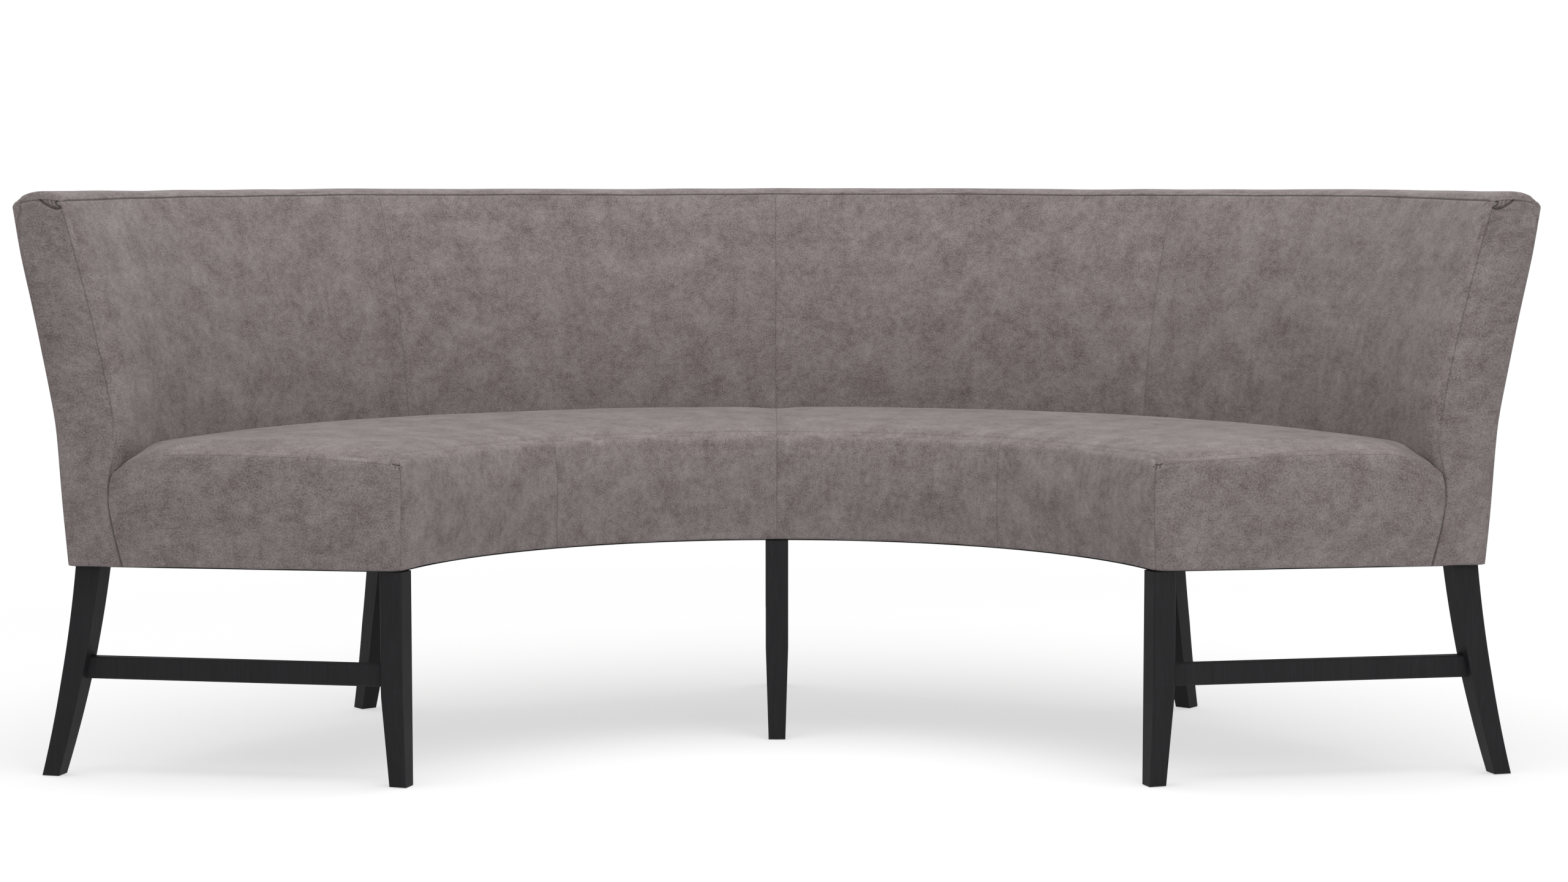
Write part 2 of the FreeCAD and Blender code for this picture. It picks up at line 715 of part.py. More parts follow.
def disc(label, radius, low, high, angle, distance, x="0"):
    """A small upright round piece, drawn with flat sides."""
    item = primitive("Prism", label, Circumradius=radius, Height="%s - (%s)" % (high, low))
    item.Polygon = ROUND_SIDES
    return stand(item, angle, x=x, radius=distance, height=low)


def finished_leg(label, body, angle, peg_place, foot_x, foot_place):
    """A leg with its tenon and the recess for its glide."""
    leg = boolean("Fuse", label + "_pegged", body, peg(label + "_peg", angle, peg_place))
    recess = disc(label + "_recess", "glide_radius + hole_gap", "0", "glide_thickness", angle, foot_place,
                  foot_x)
    return boolean("Cut", label, leg, recess)


def front_leg(label, angle, left_shave, right_shave, foot_x):
    """A square leg that tapers to the foot, its front face upright."""
    body = new_body(label + "_post", angle)
    near, far = "front_leg_radius", "front_leg_radius + leg_side"
    sketch = new_sketch(body, "XY_Plane", "glide_proud")
    draw_outline(sketch, soft_outline("-leg_side / 2", "leg_side / 2", near, far))
    pad = body.newObject("PartDesign::Pad", label + "_pad")
    pad.Profile = sketch
    bind(pad, Length="leg_height - glide_proud")
    pocket_through(body, "YZ_Plane", [(far, "leg_taper_height"), (near + " + leg_foot_side", "glide_proud"),
                                      (near + " + leg_foot_side", "0"), (far + " + overrun", "0"),
                                      (far + " + overrun", "leg_taper_height")])
    for side, amount in ((-1, left_shave), (1, right_shave)):
        if amount != "0":
            shave(body, side, amount)
    return finished_leg(label, body, angle, "front_peg_radius", foot_x, "foot_radius")


def sabre_leg(label, angle):
    """A leg that sweeps outward to the foot in one bow and grows slimmer on the way."""
    top, foot = "sabre_top_radius", "sabre_top_radius + sabre_sweep"
    points = [(top + " - sabre_top_depth", "leg_height"), (top, "leg_height"), (foot, "glide_proud"),
              (foot + " - sabre_foot_depth", "glide_proud")]
    height = "(leg_height + glide_proud) / 2"
    outer = (top + " + sabre_sweep / 2 - sabre_bow", height)
    inner = (top + " + sabre_sweep / 2 - sabre_bow - (sabre_top_depth + sabre_foot_depth) / 2", height)
    body = slab(label + "_post", points, "leg_side", angle, {1: outer, 3: inner})
    for side in (-1, 1):
        shave(body, side, "leg_shave / 2")
    return finished_leg(label, body, angle, "sabre_centre_radius", "0", "sabre_foot_radius")


def stretcher_spot(run, aside):
    """A point in plan along the stretcher's line, and to its inner side."""
    x = "stretcher_near_x + (%s) * sin(stretcher_bearing) - (%s) * cos(stretcher_bearing)" % (run, aside)
    y = "stretcher_near_y + (%s) * cos(stretcher_bearing) + (%s) * sin(stretcher_bearing)" % (run, aside)
    return x, y


def stretcher(near_leg, far_leg, holes):
    """The rail between a front corner leg and an end leg, shouldered to both."""
    body = document.addObject("PartDesign::Body", "stretcher_bar")
    x, y = stretcher_spot("0", "stretcher_offset")
    turn = "rotation(%s; 90 - stretcher_bearing)" % UP
    bind(body, Placement="placement(vector(%s; axis_y + %s; stretcher_height); %s)" % (x, y, turn))
    pad = body.newObject("PartDesign::Pad", "stretcher_pad")
    section = soft_outline("-stretcher_thickness / 2", "stretcher_thickness / 2", "0", "stretcher_rise")
    pad.Profile = outline(body, "YZ_Plane", section)
    bind(pad, Length="stretcher_length")
    bar = boolean("Cut", "stretcher_near_cut", body, near_leg)
    bar = boolean("Cut", "stretcher_far_cut", bar, far_leg)
    return boolean("Cut", "stretcher_right", bar, holes)


# Dowels and webbing

def dowel_rods(prefix, radius, depth):
    """The level dowels at both ends of the right-hand stretcher."""
    rods = []
    far_run = "stretcher_length - (sabre_top_depth + sabre_foot_depth) / 4"
    for name, run in (("near", "leg_side / 2"), ("far", far_run)):
        item = primitive("Prism", "%s_%s" % (prefix, name), Circumradius=radius, Height="2 * (%s)" % depth)
        item.Polygon = ROUND_SIDES
        x, y = stretcher_spot("%s - (%s)" % (run, depth), "stretcher_offset")
        rods.append(lay(item, "stretcher_bearing", x, y, "stretcher_height + stretcher_rise / 2"))
    return rods


def webbing():
    """Webbing bands over the seat rails, side by side round the arc."""
    bands = []
    count = int(value("corner_angle / webbing_step_angle - 1/2"))
    for number in range(-count, count + 1):
        angle = "%d * webbing_step_angle" % number
        start = "front_rail_back_radius - webbing_lap"
        band = primitive("Box", "webbing_band_%d" % (number + count), Length="webbing_width",
                         Width="rear_rail_front_radius + webbing_lap - (%s)" % start,
                         Height="webbing_thickness")
        bands.append(stand(band, angle, x="-webbing_width / 2", radius=start, height="deck_height"))
    return group("seat_webbing", bands)


# The whole bench

NODES = []


def keep(*items):
    """Hand in these objects, each under its own label."""
    NODES.extend(items)


def keep_pair(item):
    """Hand in a right-hand piece and its mirror image."""
    keep(item, mirrored(item.Label.replace("_right", "_left"), item))


def mortised(label, item, tools):
    """An object with mortises; the blank gives its label away."""
    item.Label = label + "_blank"
    return boolean("Cut", label, item, tools)


def build_covers():
    panels, band = back_covers(back_skin())
    for panel in seat_covers(seat_skin()) + panels:
        keep_pair(panel)
    keep(band, seat_foam(), back_foam())


def build_frame(mortises):
    front, rear, top, lower = curved_rails()
    angles = (("centre", "0"), ("right", "side_sabre_angle"), ("left", "-side_sabre_angle"))
    rib_tools = [seat_rib("rib_tool_" + name, angle, "hole_gap") for name, angle in angles]
    housings = [post("post_tool_" + name, angle, "post_thickness + 2 * hole_gap") for name, angle in angles]
    keep(mortised("seat_front_rail", front, group("front_rail_mortises", rib_tools + [mortises])))
    keep(mortised("seat_rear_rail", rear, group("rear_rail_mortises", rib_tools + housings)))
    keep(seat_rib("seat_rib_centre", "0"), top, lower)
    keep_pair(seat_rib("seat_rib_right", "side_sabre_angle"))
    keep(mortised("back_post_centre", post("back_post_centre", "0"), mortises))
    keep_pair(mortised("back_post_right", post("back_post_right", "side_sabre_angle"), mortises))
    keep_pair(gable())
    keep_pair(end_rail(between_rails("end_rail_room")))
    keep(corner_blocks("deck_height"), rear_leg_blocks(mortises), webbing())


def build_legs():
    keep(front_leg("leg_front_centre", "0", "leg_shave / 2", "leg_shave / 2", "0"))
    keep(sabre_leg("leg_rear_centre", "0"))
    keep_pair(sabre_leg("leg_rear_right", "side_sabre_angle"))
    near_leg = front_leg("leg_front_right", "corner_leg_angle", "0", "leg_shave", "-leg_shave / 2")
    far_leg = sabre_leg("leg_rear_right_end", "end_sabre_angle")
    rods = dowel_rods("dowel_hole", "dowel_radius + hole_gap", "dowel_depth + hole_gap")
    holes = group("dowel_holes", rods)
    keep_pair(mortised("leg_front_right", near_leg, holes))
    keep_pair(mortised("leg_rear_right_end", far_leg, holes))
    keep_pair(stretcher(near_leg, far_leg, holes))
    dowels = dowel_rods("dowel", "dowel_radius", "dowel_depth")
    keep(group("stretcher_dowels", dowels + [mirrored(dowel.Name + "_left", dowel) for dowel in dowels]))
    glides = [disc("glide_%d" % number, "glide_radius", "0", "glide_thickness", angle, distance, x)
              for number, (angle, distance, x) in enumerate(FOOT_SPOTS)]
    keep(group("foot_glides", glides))


def build_dust_cover(mortises):
    points = rectangle("front_radius + dust_cover_inset", "back_foot_radius - dust_cover_inset",
                       "leg_height", "seat_base")
    cloth = ring("dust_cover", points, inset="dust_cover_inset")
    keep(mortised("dust_cover", cloth, mortises))


def build():
    """Make every piece and check it."""
    fill_sheet()
    mortises = group("leg_mortises", [peg("mortise_%d" % number, angle, distance, "hole_gap")
                                      for number, (angle, distance) in enumerate(LEG_SPOTS)])
    build_legs()
    build_frame(mortises)
    build_dust_cover(mortises)
    build_covers()
    document.recompute()
    for item in document.Objects:
        if "Invalid" in item.State or "Error" in item.State:
            raise RuntimeError("%s did not build: %s" % (item.Label, item.State))


def export():
    """Write one file for each node."""
    os.makedirs("parts", exist_ok=True)
    for item in NODES:
        shape = item.Shape
        if shape.isNull() or not shape.isValid() or not shape.Solids:
            raise RuntimeError("%s has no good solid" % item.Label)
        shape.exportStep("parts/%s.step" % item.Label)
        print("%-24s solids %2d  faces %3d" % (item.Label, len(shape.Solids), len(shape.Faces)))


build()
export()
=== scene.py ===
import json
import math
from functools import reduce

import bmesh
import bpy
import numpy as np
from mathutils import Matrix, Vector, noise
from mathutils.bvhtree import BVHTree


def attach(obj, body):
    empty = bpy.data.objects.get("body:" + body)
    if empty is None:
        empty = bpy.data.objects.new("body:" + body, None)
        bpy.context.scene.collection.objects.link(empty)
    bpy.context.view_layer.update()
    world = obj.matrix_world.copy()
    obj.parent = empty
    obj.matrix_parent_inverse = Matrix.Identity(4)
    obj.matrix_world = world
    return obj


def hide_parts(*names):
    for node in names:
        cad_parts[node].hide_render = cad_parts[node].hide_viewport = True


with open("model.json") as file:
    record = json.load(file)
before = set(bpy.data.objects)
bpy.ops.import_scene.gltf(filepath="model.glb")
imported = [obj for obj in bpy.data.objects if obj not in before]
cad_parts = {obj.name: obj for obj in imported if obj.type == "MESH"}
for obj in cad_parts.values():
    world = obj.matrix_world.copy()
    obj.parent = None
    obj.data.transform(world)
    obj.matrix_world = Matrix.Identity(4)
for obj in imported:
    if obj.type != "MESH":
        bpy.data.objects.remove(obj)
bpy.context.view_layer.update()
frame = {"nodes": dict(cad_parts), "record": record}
MILLIMETRE = 0.001

# Plan of the bench: every curve is struck from one upright axis in front of it
AXIS_Y = -0.66162
END_ANGLE = math.radians(81.5)
FRONT_RADIUS = 0.575
CORNER_ANGLE = math.radians(73.3)
END_OFFSET = FRONT_RADIUS * math.sin(CORNER_ANGLE - END_ANGLE)
END_ZONE = 0.09
END_BULGE = 0.003
END_TURN = 0.055
SHUT_EDGE = 0.0022

# Heights and sections, in metres
BASE = 0.323
SEAT_HIGH = 0.494 - BASE
SEAT_RISE = 0.009
SEAT_CROWN = 0.008
SEAT_DEEP = 0.99 - FRONT_RADIUS
SHUT_GAP = 0.0001
FRONT_BULGE = 0.003
DECK = 0.4333 - BASE
BACK_HIGH = 0.875 - BASE
BACK_DEEP = 0.085
CREASE = 0.503 - BASE
TUCK = 0.458 - BASE
INSIDE_FOOT = 0.990
INSIDE_TOP = 1.080
INSIDE_CROWN = 0.014
CROWN_LOSS = 0.45
TOP_CROWN = 0.005
TOP_WAVE = 0.0012
TURNED_HEIGHTS = [0.323, 0.375, 0.420, 0.462, 0.496, 0.521, 0.550]
TURNED_OUT = [0.0104, 0.0242, 0.0322, 0.0286, 0.0150, 0.0030, 0.0]
END_FULLNESS = 0.0032
FULLER_TOP = 0.8
BAND_DROP = 0.0045
OUTSIDE_HEIGHTS = [0.323, 0.401, 0.511, 0.535, 0.550, 0.565, 0.673, 0.783, 0.875]
OUTSIDE_RADII = [1.0810, 1.0874, 1.0950, 1.0967, 1.0988, 1.1015, 1.1215, 1.1437, 1.1590]
POST_HEIGHTS = [0.323, 0.440, 0.832, 0.875]
POST_RADII = [1.0217, 1.0217, 1.1077, 1.1077]
TIMBER_INSET = 0.0115
COVER = 0.0023
TIMBER_HIGH = 0.5365

# How far from a pad's ends each change of its form begins, in metres
SEAT_DROP_REACH = 0.1
SEAT_SOFT_REACH = 0.06
BACK_DROOP_REACH = 0.11
BACK_CROWN_REACH = 0.05
BACK_FULL_REACH = 0.25
BAND_DROP_REACH = 0.5

# Where on a pad's section each change starts or ends and its reach, as shares of depth or height
SEAT_SHUT_DEEP = (0.86, 0.1)
SEAT_SHUT_HIGH = (0.95, 0.1)
SEAT_SOFT_HIGH = (0.6, 0.25)
SEAT_DROP_DEEP = (0.82, 0.18)
BACK_SHUT_DEEP = (0.5, 0.3)
BACK_SHUT_HIGH = (0.36, 0.1)
BACK_END_DEEP = (1 / 6, 2 / 3)
BACK_CREST_HIGH = (0.92, 0.035)
BACK_WAVE_HIGH = (0.85, 0.1)
BACK_FULL_HIGH = (0.5, 0.5)
BAND_DROP_HIGH = (0.93, 0.06)
BAND_HIGH = (1, 0.0085)

# The uneven waves along the bench: size, how often and where each starts
RIPPLES = ((0.5, 7.3, 0.4), (0.3, 17.1, 2.1), (0.2, 41, 1.2))


def end_angle(radius):
    """The angle about the axis where the bench's straight ends stand at a radius."""
    return END_ANGLE + np.arcsin(END_OFFSET / radius)


def rounded_to_end(along, half, seam, seam_angle, radius, middle):
    """The angle about the axis at a distance along a pad: even up to the seam, true to size near the end."""
    side, run = np.sign(along), np.abs(along)
    end = end_angle(radius) + END_BULGE * middle / radius
    near = end - END_ZONE / radius
    inner = run / seam * seam_angle
    between = seam_angle + (run - seam) / (half - END_ZONE - seam) * (near - seam_angle)
    outer = end - (half - run) / radius
    return side * np.where(run < seam, inner, np.where(run < half - END_ZONE, between, outer))


def on_plan(angle, radius, height):
    """Points of the room from angle, radius and height about the bench's axis."""
    return np.stack([radius * np.sin(angle), AXIS_Y + radius * np.cos(angle), height], axis=-1)


def rising(value, start, reach):
    """A share that is nothing up to the start and one after a reach."""
    return np.clip((value - start) / reach, 0, 1)


def falling(value, end, reach):
    """A share that is one up to a reach before the end and nothing from there."""
    return np.clip((end - value) / reach, 0, 1)


def hump(distance, width):
    """One at no distance, fading evenly on both sides."""
    return np.exp(-(distance / width) ** 2)


def bow(share):
    """A rise that is nothing at both ends of a width and one at its middle."""
    return 1 - (2 * np.clip(share, 0, 1) - 1) ** 2


def near_end(along, half, reach):
    """A share that grows from nothing, at a reach from a pad's ends, to one at the ends."""
    return np.clip((np.abs(along) - half + reach) / reach, 0, 1) ** 2


def ripple(along):
    """Uneven waves along the bench, between about -1 and 1."""
    return sum(size * np.sin(often * along + start) for size, often, start in RIPPLES)


def turned_out(along, height, half):
    """How far the line between seat and back turns outward near the ends of the bench."""
    return near_end(along, half, END_TURN) * np.interp(height, TURNED_HEIGHTS, TURNED_OUT)


class Pad:
    """A padded form: a straight box with a grid of lines, softened at its edges and then bent to plan."""

    def __init__(self, half, deep, high, edges, seam, seam_angle, section, inset=0.0):
        self.low = np.array([-half, 0.0, 0.0])
        self.top = np.array([half, deep, high])
        self.edges = edges
        self.seam = seam
        self.seam_angle = seam_angle
        self.section = section
        self.reach = half + inset
        self.lines = []

    def softened(self, points):
        """The box's points with its edges and corners rounded off."""
        along, deep, high = np.moveaxis(points, -1, 0)
        reach_low, reach_top = self.edges(along, deep / self.top[1], high / self.top[2])
        core = np.clip(points, self.low + reach_low, self.top - reach_top)
        out = points - core
        reach = np.where(out < 0, reach_low, reach_top)
        share = out / reach
        length = np.linalg.norm(share, axis=-1, keepdims=True)
        return core + reach * share / np.maximum(length, 1e-9)

    def bent(self, points):
        """The box's points bent round the bench's axis."""
        along, deep, high = np.moveaxis(points, -1, 0)
        deep, high = deep / self.top[1], high / self.top[2]
        radius, height = self.section(along, deep, high, self.reach)
        middle = bow(deep) * bow(high)
        angle = rounded_to_end(along, self.reach, self.seam, self.seam_angle, radius, middle)
        return on_plan(angle, radius, height)


def edge_radii(along, end, front, rear, foot, top, sharp):
    """The roundness of a box's low and top edges at each place, tight where sharp is one."""
    blank = np.zeros_like(along)
    low = np.stack([end + blank, front + blank, foot + blank], axis=-1)
    high = np.stack([end + blank, rear + blank, top + blank], axis=-1)
    tight = (sharp + blank)[..., None]
    return low * (1 - tight) + SHUT_EDGE * tight, high * (1 - tight) + SHUT_EDGE * tight


def seat_edges(along, deep, high):
    """The seat's edges: full in front, tight against the back all down its rear."""
    sharp = rising(deep, *SEAT_SHUT_DEEP) * falling(high, *SEAT_SHUT_HIGH)
    full = near_end(along, SEAT_HALF, SEAT_SOFT_REACH)
    end = SEAT_END_EDGE + SEAT_END_SOFTNESS * rising(high, *SEAT_SOFT_HIGH)
    top = SEAT_TOP_EDGE + (SEAT_REAR_EDGE - SEAT_TOP_EDGE) * deep + SEAT_END_SOFTNESS * full
    return edge_radii(along, end, SEAT_FRONT_EDGE, SEAT_REAR_EDGE, FOOT_EDGE, top, sharp)


def back_edges(along, deep, high):
    """The back's edges: tight below the crease, the top falling away at the outer corners."""
    sharp = falling(deep, *BACK_SHUT_DEEP) * falling(high, *BACK_SHUT_HIGH)
    droop = near_end(along, BACK_HALF, BACK_DROOP_REACH)
    end = BACK_END_EDGE + (BACK_REAR_END_EDGE - BACK_END_EDGE) * rising(deep, *BACK_END_DEEP)
    crest = rising(high, *BACK_CREST_HIGH)
    rear = BACK_REAR_END_EDGE + (BACK_REAR_EDGE + BACK_DROOP_DEEP * droop - BACK_REAR_END_EDGE) * crest
    top = BACK_TOP_EDGE + deep * (BACK_TOP_REAR_EDGE + BACK_DROOP_HIGH * droop)
    return edge_radii(along, end, BACK_INSIDE_EDGE, rear, FOOT_EDGE, top, sharp)


def seat_rear(along, height, half):
    """Radius of the seat's rear, which shuts against the back."""
    return FRONT_RADIUS + SEAT_DEEP - SHUT_GAP + turned_out(along, height, half)


def seat_section(along, deep, high, half):
    """Radius and height of the seat pad, whose rear corners drop where they meet the back."""
    drop = SEAT_END_DROP * near_end(along, half, SEAT_DROP_REACH) * rising(deep, *SEAT_DROP_DEEP) ** 2
    top = SEAT_HIGH + SEAT_RISE * deep + SEAT_CROWN * bow(deep) - drop
    height = BASE + high * top
    front = FRONT_RADIUS - FRONT_BULGE * bow(high)
    return front + deep * (seat_rear(along, height, half) - front), height


def back_section(along, deep, high, half):
    """Radius and height of the back pad: upright below the crease, crowned and raked above it."""
    wave = TOP_WAVE * ripple(along) * rising(high, *BACK_WAVE_HIGH)
    drop = BAND_DROP * near_end(along, half, BAND_DROP_REACH) * rising(high, *BAND_DROP_HIGH)
    wave = wave - drop * falling(high, *BAND_HIGH)
    height = BASE + high * (BACK_HIGH + TOP_CROWN * bow(deep)) + wave
    rise = np.maximum((high * BACK_HIGH - CREASE) / (BACK_HIGH - CREASE), 0)
    crown = INSIDE_CROWN * bow(rise) * (1 - CROWN_LOSS * near_end(along, half, BACK_CROWN_REACH))
    inside = INSIDE_FOOT + (INSIDE_TOP - INSIDE_FOOT) * rise - crown + turned_out(along, height, half)
    fullness = END_FULLNESS * (1 + FULLER_TOP * rising(high, *BACK_FULL_HIGH))
    fullness = fullness * near_end(along, half, BACK_FULL_REACH)
    outside = np.interp(height, OUTSIDE_HEIGHTS, OUTSIDE_RADII) + fullness
    return inside + deep * (outside - inside), height


def hollow_seat_section(along, deep, high, half):
    """Radius and height of the room inside the seat pad, for the deck and the rails."""
    height = BASE + high * DECK
    front = FRONT_RADIUS + TIMBER_INSET
    return front + deep * (seat_rear(along, height, half) - front), height


def hollow_back_section(along, deep, high, half):
    """Radius and height of the room inside the back pad, for the posts and rails."""
    height = BASE + high * TIMBER_HIGH
    inside = np.interp(height, POST_HEIGHTS, POST_RADII)
    outside = np.interp(height, OUTSIDE_HEIGHTS, OUTSIDE_RADII) - COVER
    return inside + deep * (outside - inside), height


def add_object(name, data):
    """An object in the scene that holds this data."""
    piece = bpy.data.objects.new(name, data)
    bpy.context.scene.collection.objects.link(piece)
    return piece


# The grids of the pads' skins: two lines are never nearer than the gap
LINE_GAP = 0.35 * MILLIMETRE
EDGE_TURNS = (34, 23, 11.5, 0)
GROOVE_OFFSETS = (-6, -2.5, -0.9, 0, 0.9, 2.5, 6)
CORNER_STEP = 0.0015
CORNER_LINES = 25
SEAT_STEP = 0.021
BACK_STEP = 0.034
COARSE_STEP = 0.024
COARSE_EDGE = 0.012
ROOM_STEP = 0.05

# A pad's faces, each an axis and a side of it
FACES = [(axis, side) for axis in range(3) for side in range(2)]
OTHER_AXES = ((1, 2), (0, 2), (0, 1))
FRONT, REAR, BOTTOM = (1, 0), (1, 1), (2, 0)


def grid_lines(low, high, spacing, kept):
    """Lines from low to high: those kept, with even steps no wider than the spacing between them."""
    marks = [low]
    for mark in sorted([*kept, high]):
        if mark - marks[-1] > LINE_GAP:
            marks.append(mark)
    lines = [marks[0]]
    for first, last in zip(marks, marks[1:]):
        steps = max(1, math.ceil((last - first) / spacing))
        lines += [first + (last - first) * step / steps for step in range(1, steps + 1)]
    return np.array(lines)


def edge_lines(position, radius, way):
    """Lines that round an edge evenly, from the edge inwards."""
    return [position + way * radius * (1 - math.tan(math.radians(turn))) for turn in EDGE_TURNS]


def beside(position):
    """The lines of a sewn groove, on and beside its seam."""
    return [position + offset * MILLIMETRE for offset in GROOVE_OFFSETS]


class Skin:
    """The box's faces as one grid of squares, with each corner's place on the box."""

    def __init__(self, lines):
        self.lines = lines
        counts = [len(line) for line in lines]
        spot = np.indices(counts)
        last = np.array(counts).reshape(3, 1, 1, 1) - 1
        on_face = ((spot == 0) | (spot == last)).any(axis=0)
        self.number = np.full(counts, -1)
        self.number[on_face] = np.arange(on_face.sum())
        place = np.stack(np.meshgrid(*lines, indexing="ij"), axis=-1)
        self.corners = place[on_face]

    def face(self, axis, side):
        """The corner numbers of one face, a row for each line."""
        return np.take(self.number, -1 if side else 0, axis=axis)

    def squares(self, axis, side):
        """The squares of one face, wound so that they look outwards."""
        grid = self.face(axis, side)
        turned = (axis == 1) == bool(side)
        ring = [grid[:-1, :-1], grid[1:, :-1], grid[1:, 1:], grid[:-1, 1:]]
        squares = np.stack(ring, axis=-1).reshape(-1, 4)
        return squares[:, ::-1] if turned else squares

    def all_squares(self):
        """The squares of all six faces."""
        return np.concatenate([self.squares(*face) for face in FACES])


def distance_to(points, start, end):
    """How far points lie from a straight run between two places, and at what share of it."""
    run = np.array(end) - start
    share = np.clip(((points - start) @ run) / max(run @ run, 1e-12), 0, 1)
    return np.linalg.norm(points - start - share[:, None] * run, axis=1), share


def runs_of(item):
    """The straight runs of a seam's or a gather's line, each as its two ends."""
    return zip(item["line"], item["line"][1:])


def nearest_seam(points, seams):
    """How far points lie from the nearest of the sewn lines."""
    return np.min([distance_to(points, *run)[0] for item in seams for run in runs_of(item)], axis=0)


def seam_shade(points, seams):
    """How much painted shade lies along the sewn lines and joints at each place."""
    shades = [item["dark"] * hump(nearest_seam(points, [item]), item["width"]) for item in seams]
    return np.max(shades, axis=0)


def corner_normals(places, squares):
    """The outward direction at each corner, from the squares round it."""
    across = places[squares[:, 2]] - places[squares[:, 0]]
    down = places[squares[:, 3]] - places[squares[:, 1]]
    facing = np.cross(across, down)
    total = np.zeros_like(places)
    for turn in range(4):
        np.add.at(total, squares[:, turn], facing)
    return total / np.maximum(np.linalg.norm(total, axis=1, keepdims=True), 1e-12)


# The swelling of the pads, and how their covers sink: grooves and folds as depths and widths
SWELL_PRESSURE = 4
SWELL_FRAMES = 20
SWELL_CAP = 0.006
SEWN_REACH = 4 * MILLIMETRE
SEWN_GRIP = 0.85
GROOVES = ((1.0 * MILLIMETRE, 0.0012), (0.5 * MILLIMETRE, 0.006))
STUFFING_WAVES = ((0.11, 0.9 * MILLIMETRE), (0.035, 0.25 * MILLIMETRE))
FADE_MARGIN = 0.02
FADE_POWER = 0.6
FULL_CREASE = 2.5 * MILLIMETRE
FREE_REACH = 0.02
SHUT_DEPTH = 4 * MILLIMETRE
HELD_FOOT = 0.03
HELD_TOP = 0.013

# A place on the corner's map that is far from every gather, and the pattern's step from panel to panel
NO_CORNER = (9.0, 9.0)
PANEL_STEP = (0.37, 0.73)


def swollen(pad, skin, seams, held):
    """The moves of a coarse skin that cloth simulation blows up, held where it is sewn or hidden."""
    places = pad.bent(pad.softened(skin.corners))
    mesh = bpy.data.meshes.new("swelling")
    mesh.from_pydata(places.tolist(), [], skin.all_squares().tolist())
    cloth = add_object("swelling", mesh)
    grip = cloth.vertex_groups.new(name="held")
    gripped = held(skin.corners)
    sewn = nearest_seam(skin.corners, seams) < SEWN_REACH
    grip.add(np.flatnonzero(gripped).tolist(), 1.0, "REPLACE")
    grip.add(np.flatnonzero(sewn & ~gripped).tolist(), SEWN_GRIP, "REPLACE")
    modifier = cloth.modifiers.new("swell", "CLOTH")
    settings = modifier.settings
    settings.use_pressure = True
    settings.uniform_pressure_force = SWELL_PRESSURE
    settings.effector_weights.gravity = 0
    settings.vertex_group_mass = grip.name
    settings.quality = 4
    modifier.point_cache.frame_end = SWELL_FRAMES
    scene = bpy.context.scene
    for step in range(1, SWELL_FRAMES + 1):
        scene.frame_set(step)
    graph = bpy.context.evaluated_depsgraph_get()
    result = cloth.evaluated_get(graph).data
    moved = np.array([corner.co for corner in result.vertices]) - places
    bpy.data.objects.remove(cloth)
    scene.frame_set(1)
    length = np.linalg.norm(moved, axis=1, keepdims=True)
    return moved * SWELL_CAP * np.tanh(length / SWELL_CAP) / np.maximum(length, 1e-9)


def resampled(table, old, new):
    """A table of moves read at new lines instead of old ones, its rows and columns exchanged."""
    columns = table.swapaxes(0, 1)
    parts = [[np.interp(new, old, column[:, part]) for column in columns] for part in range(3)]
    return np.stack(parts, axis=-1)


def spread(moves, coarse, fine):
    """The coarse skin's moves, carried over to the fine skin's corners face by face."""
    out = np.zeros((len(fine.corners), 3))
    for axis, side in FACES:
        first, second = OTHER_AXES[axis]
        table = resampled(moves[coarse.face(axis, side)], coarse.lines[first], fine.lines[first])
        out[fine.face(axis, side)] = resampled(table, coarse.lines[second], fine.lines[second])
    return out


def sewn_in(distance):
    """How deep the cover is drawn in beside a seam: a narrow groove in a wide soft one."""
    return sum(deep * hump(distance, width) for deep, width in GROOVES)


def drawn_in(points, seams):
    """How deep the seams draw the cover in, the faint ones less."""
    sewn = [item for item in seams if item["sewn"]]
    return np.max([item["dark"] * sewn_in(nearest_seam(points, [item])) for item in sewn], axis=0)


def uneven(points, size, amount):
    """Slight waves of a stuffed surface, the same each time."""
    return amount * np.array([noise.noise(Vector(point) / size) for point in points])


def folded(points, folds):
    """How deep the folds of the cover lie at each place, fading at each fold's ends."""
    depth = np.zeros(len(points))
    for start, end, width, deepest in folds:
        distance, share = distance_to(points, start, end)
        fade = np.sin(np.clip(share, FADE_MARGIN, 1 - FADE_MARGIN) * math.pi) ** FADE_POWER
        depth += deepest * fade * hump(distance, width)
    return depth


def both_sides(folds):
    """Folds given for one side, and the same on the other side."""
    other = [((-start[0], *start[1:]), (-end[0], *end[1:]), *size) for start, end, *size in folds]
    return folds + other


def panel_of(spot, axis, side, breaks):
    """Which panel of cover a place lies on, counted across the breaks."""
    zone = int(np.searchsorted(breaks, spot[0])) if axis == 1 else 0
    return zone + 3 * axis + 7 * side


def corner_place(spot, axis, side, half):
    """A place on the map of a corner: its way in from the corner's edge, and its height."""
    if axis == 0:
        return spot[1], spot[2]
    if (axis, side) == FRONT:
        return abs(spot[0]) - half, spot[2]
    return NO_CORNER


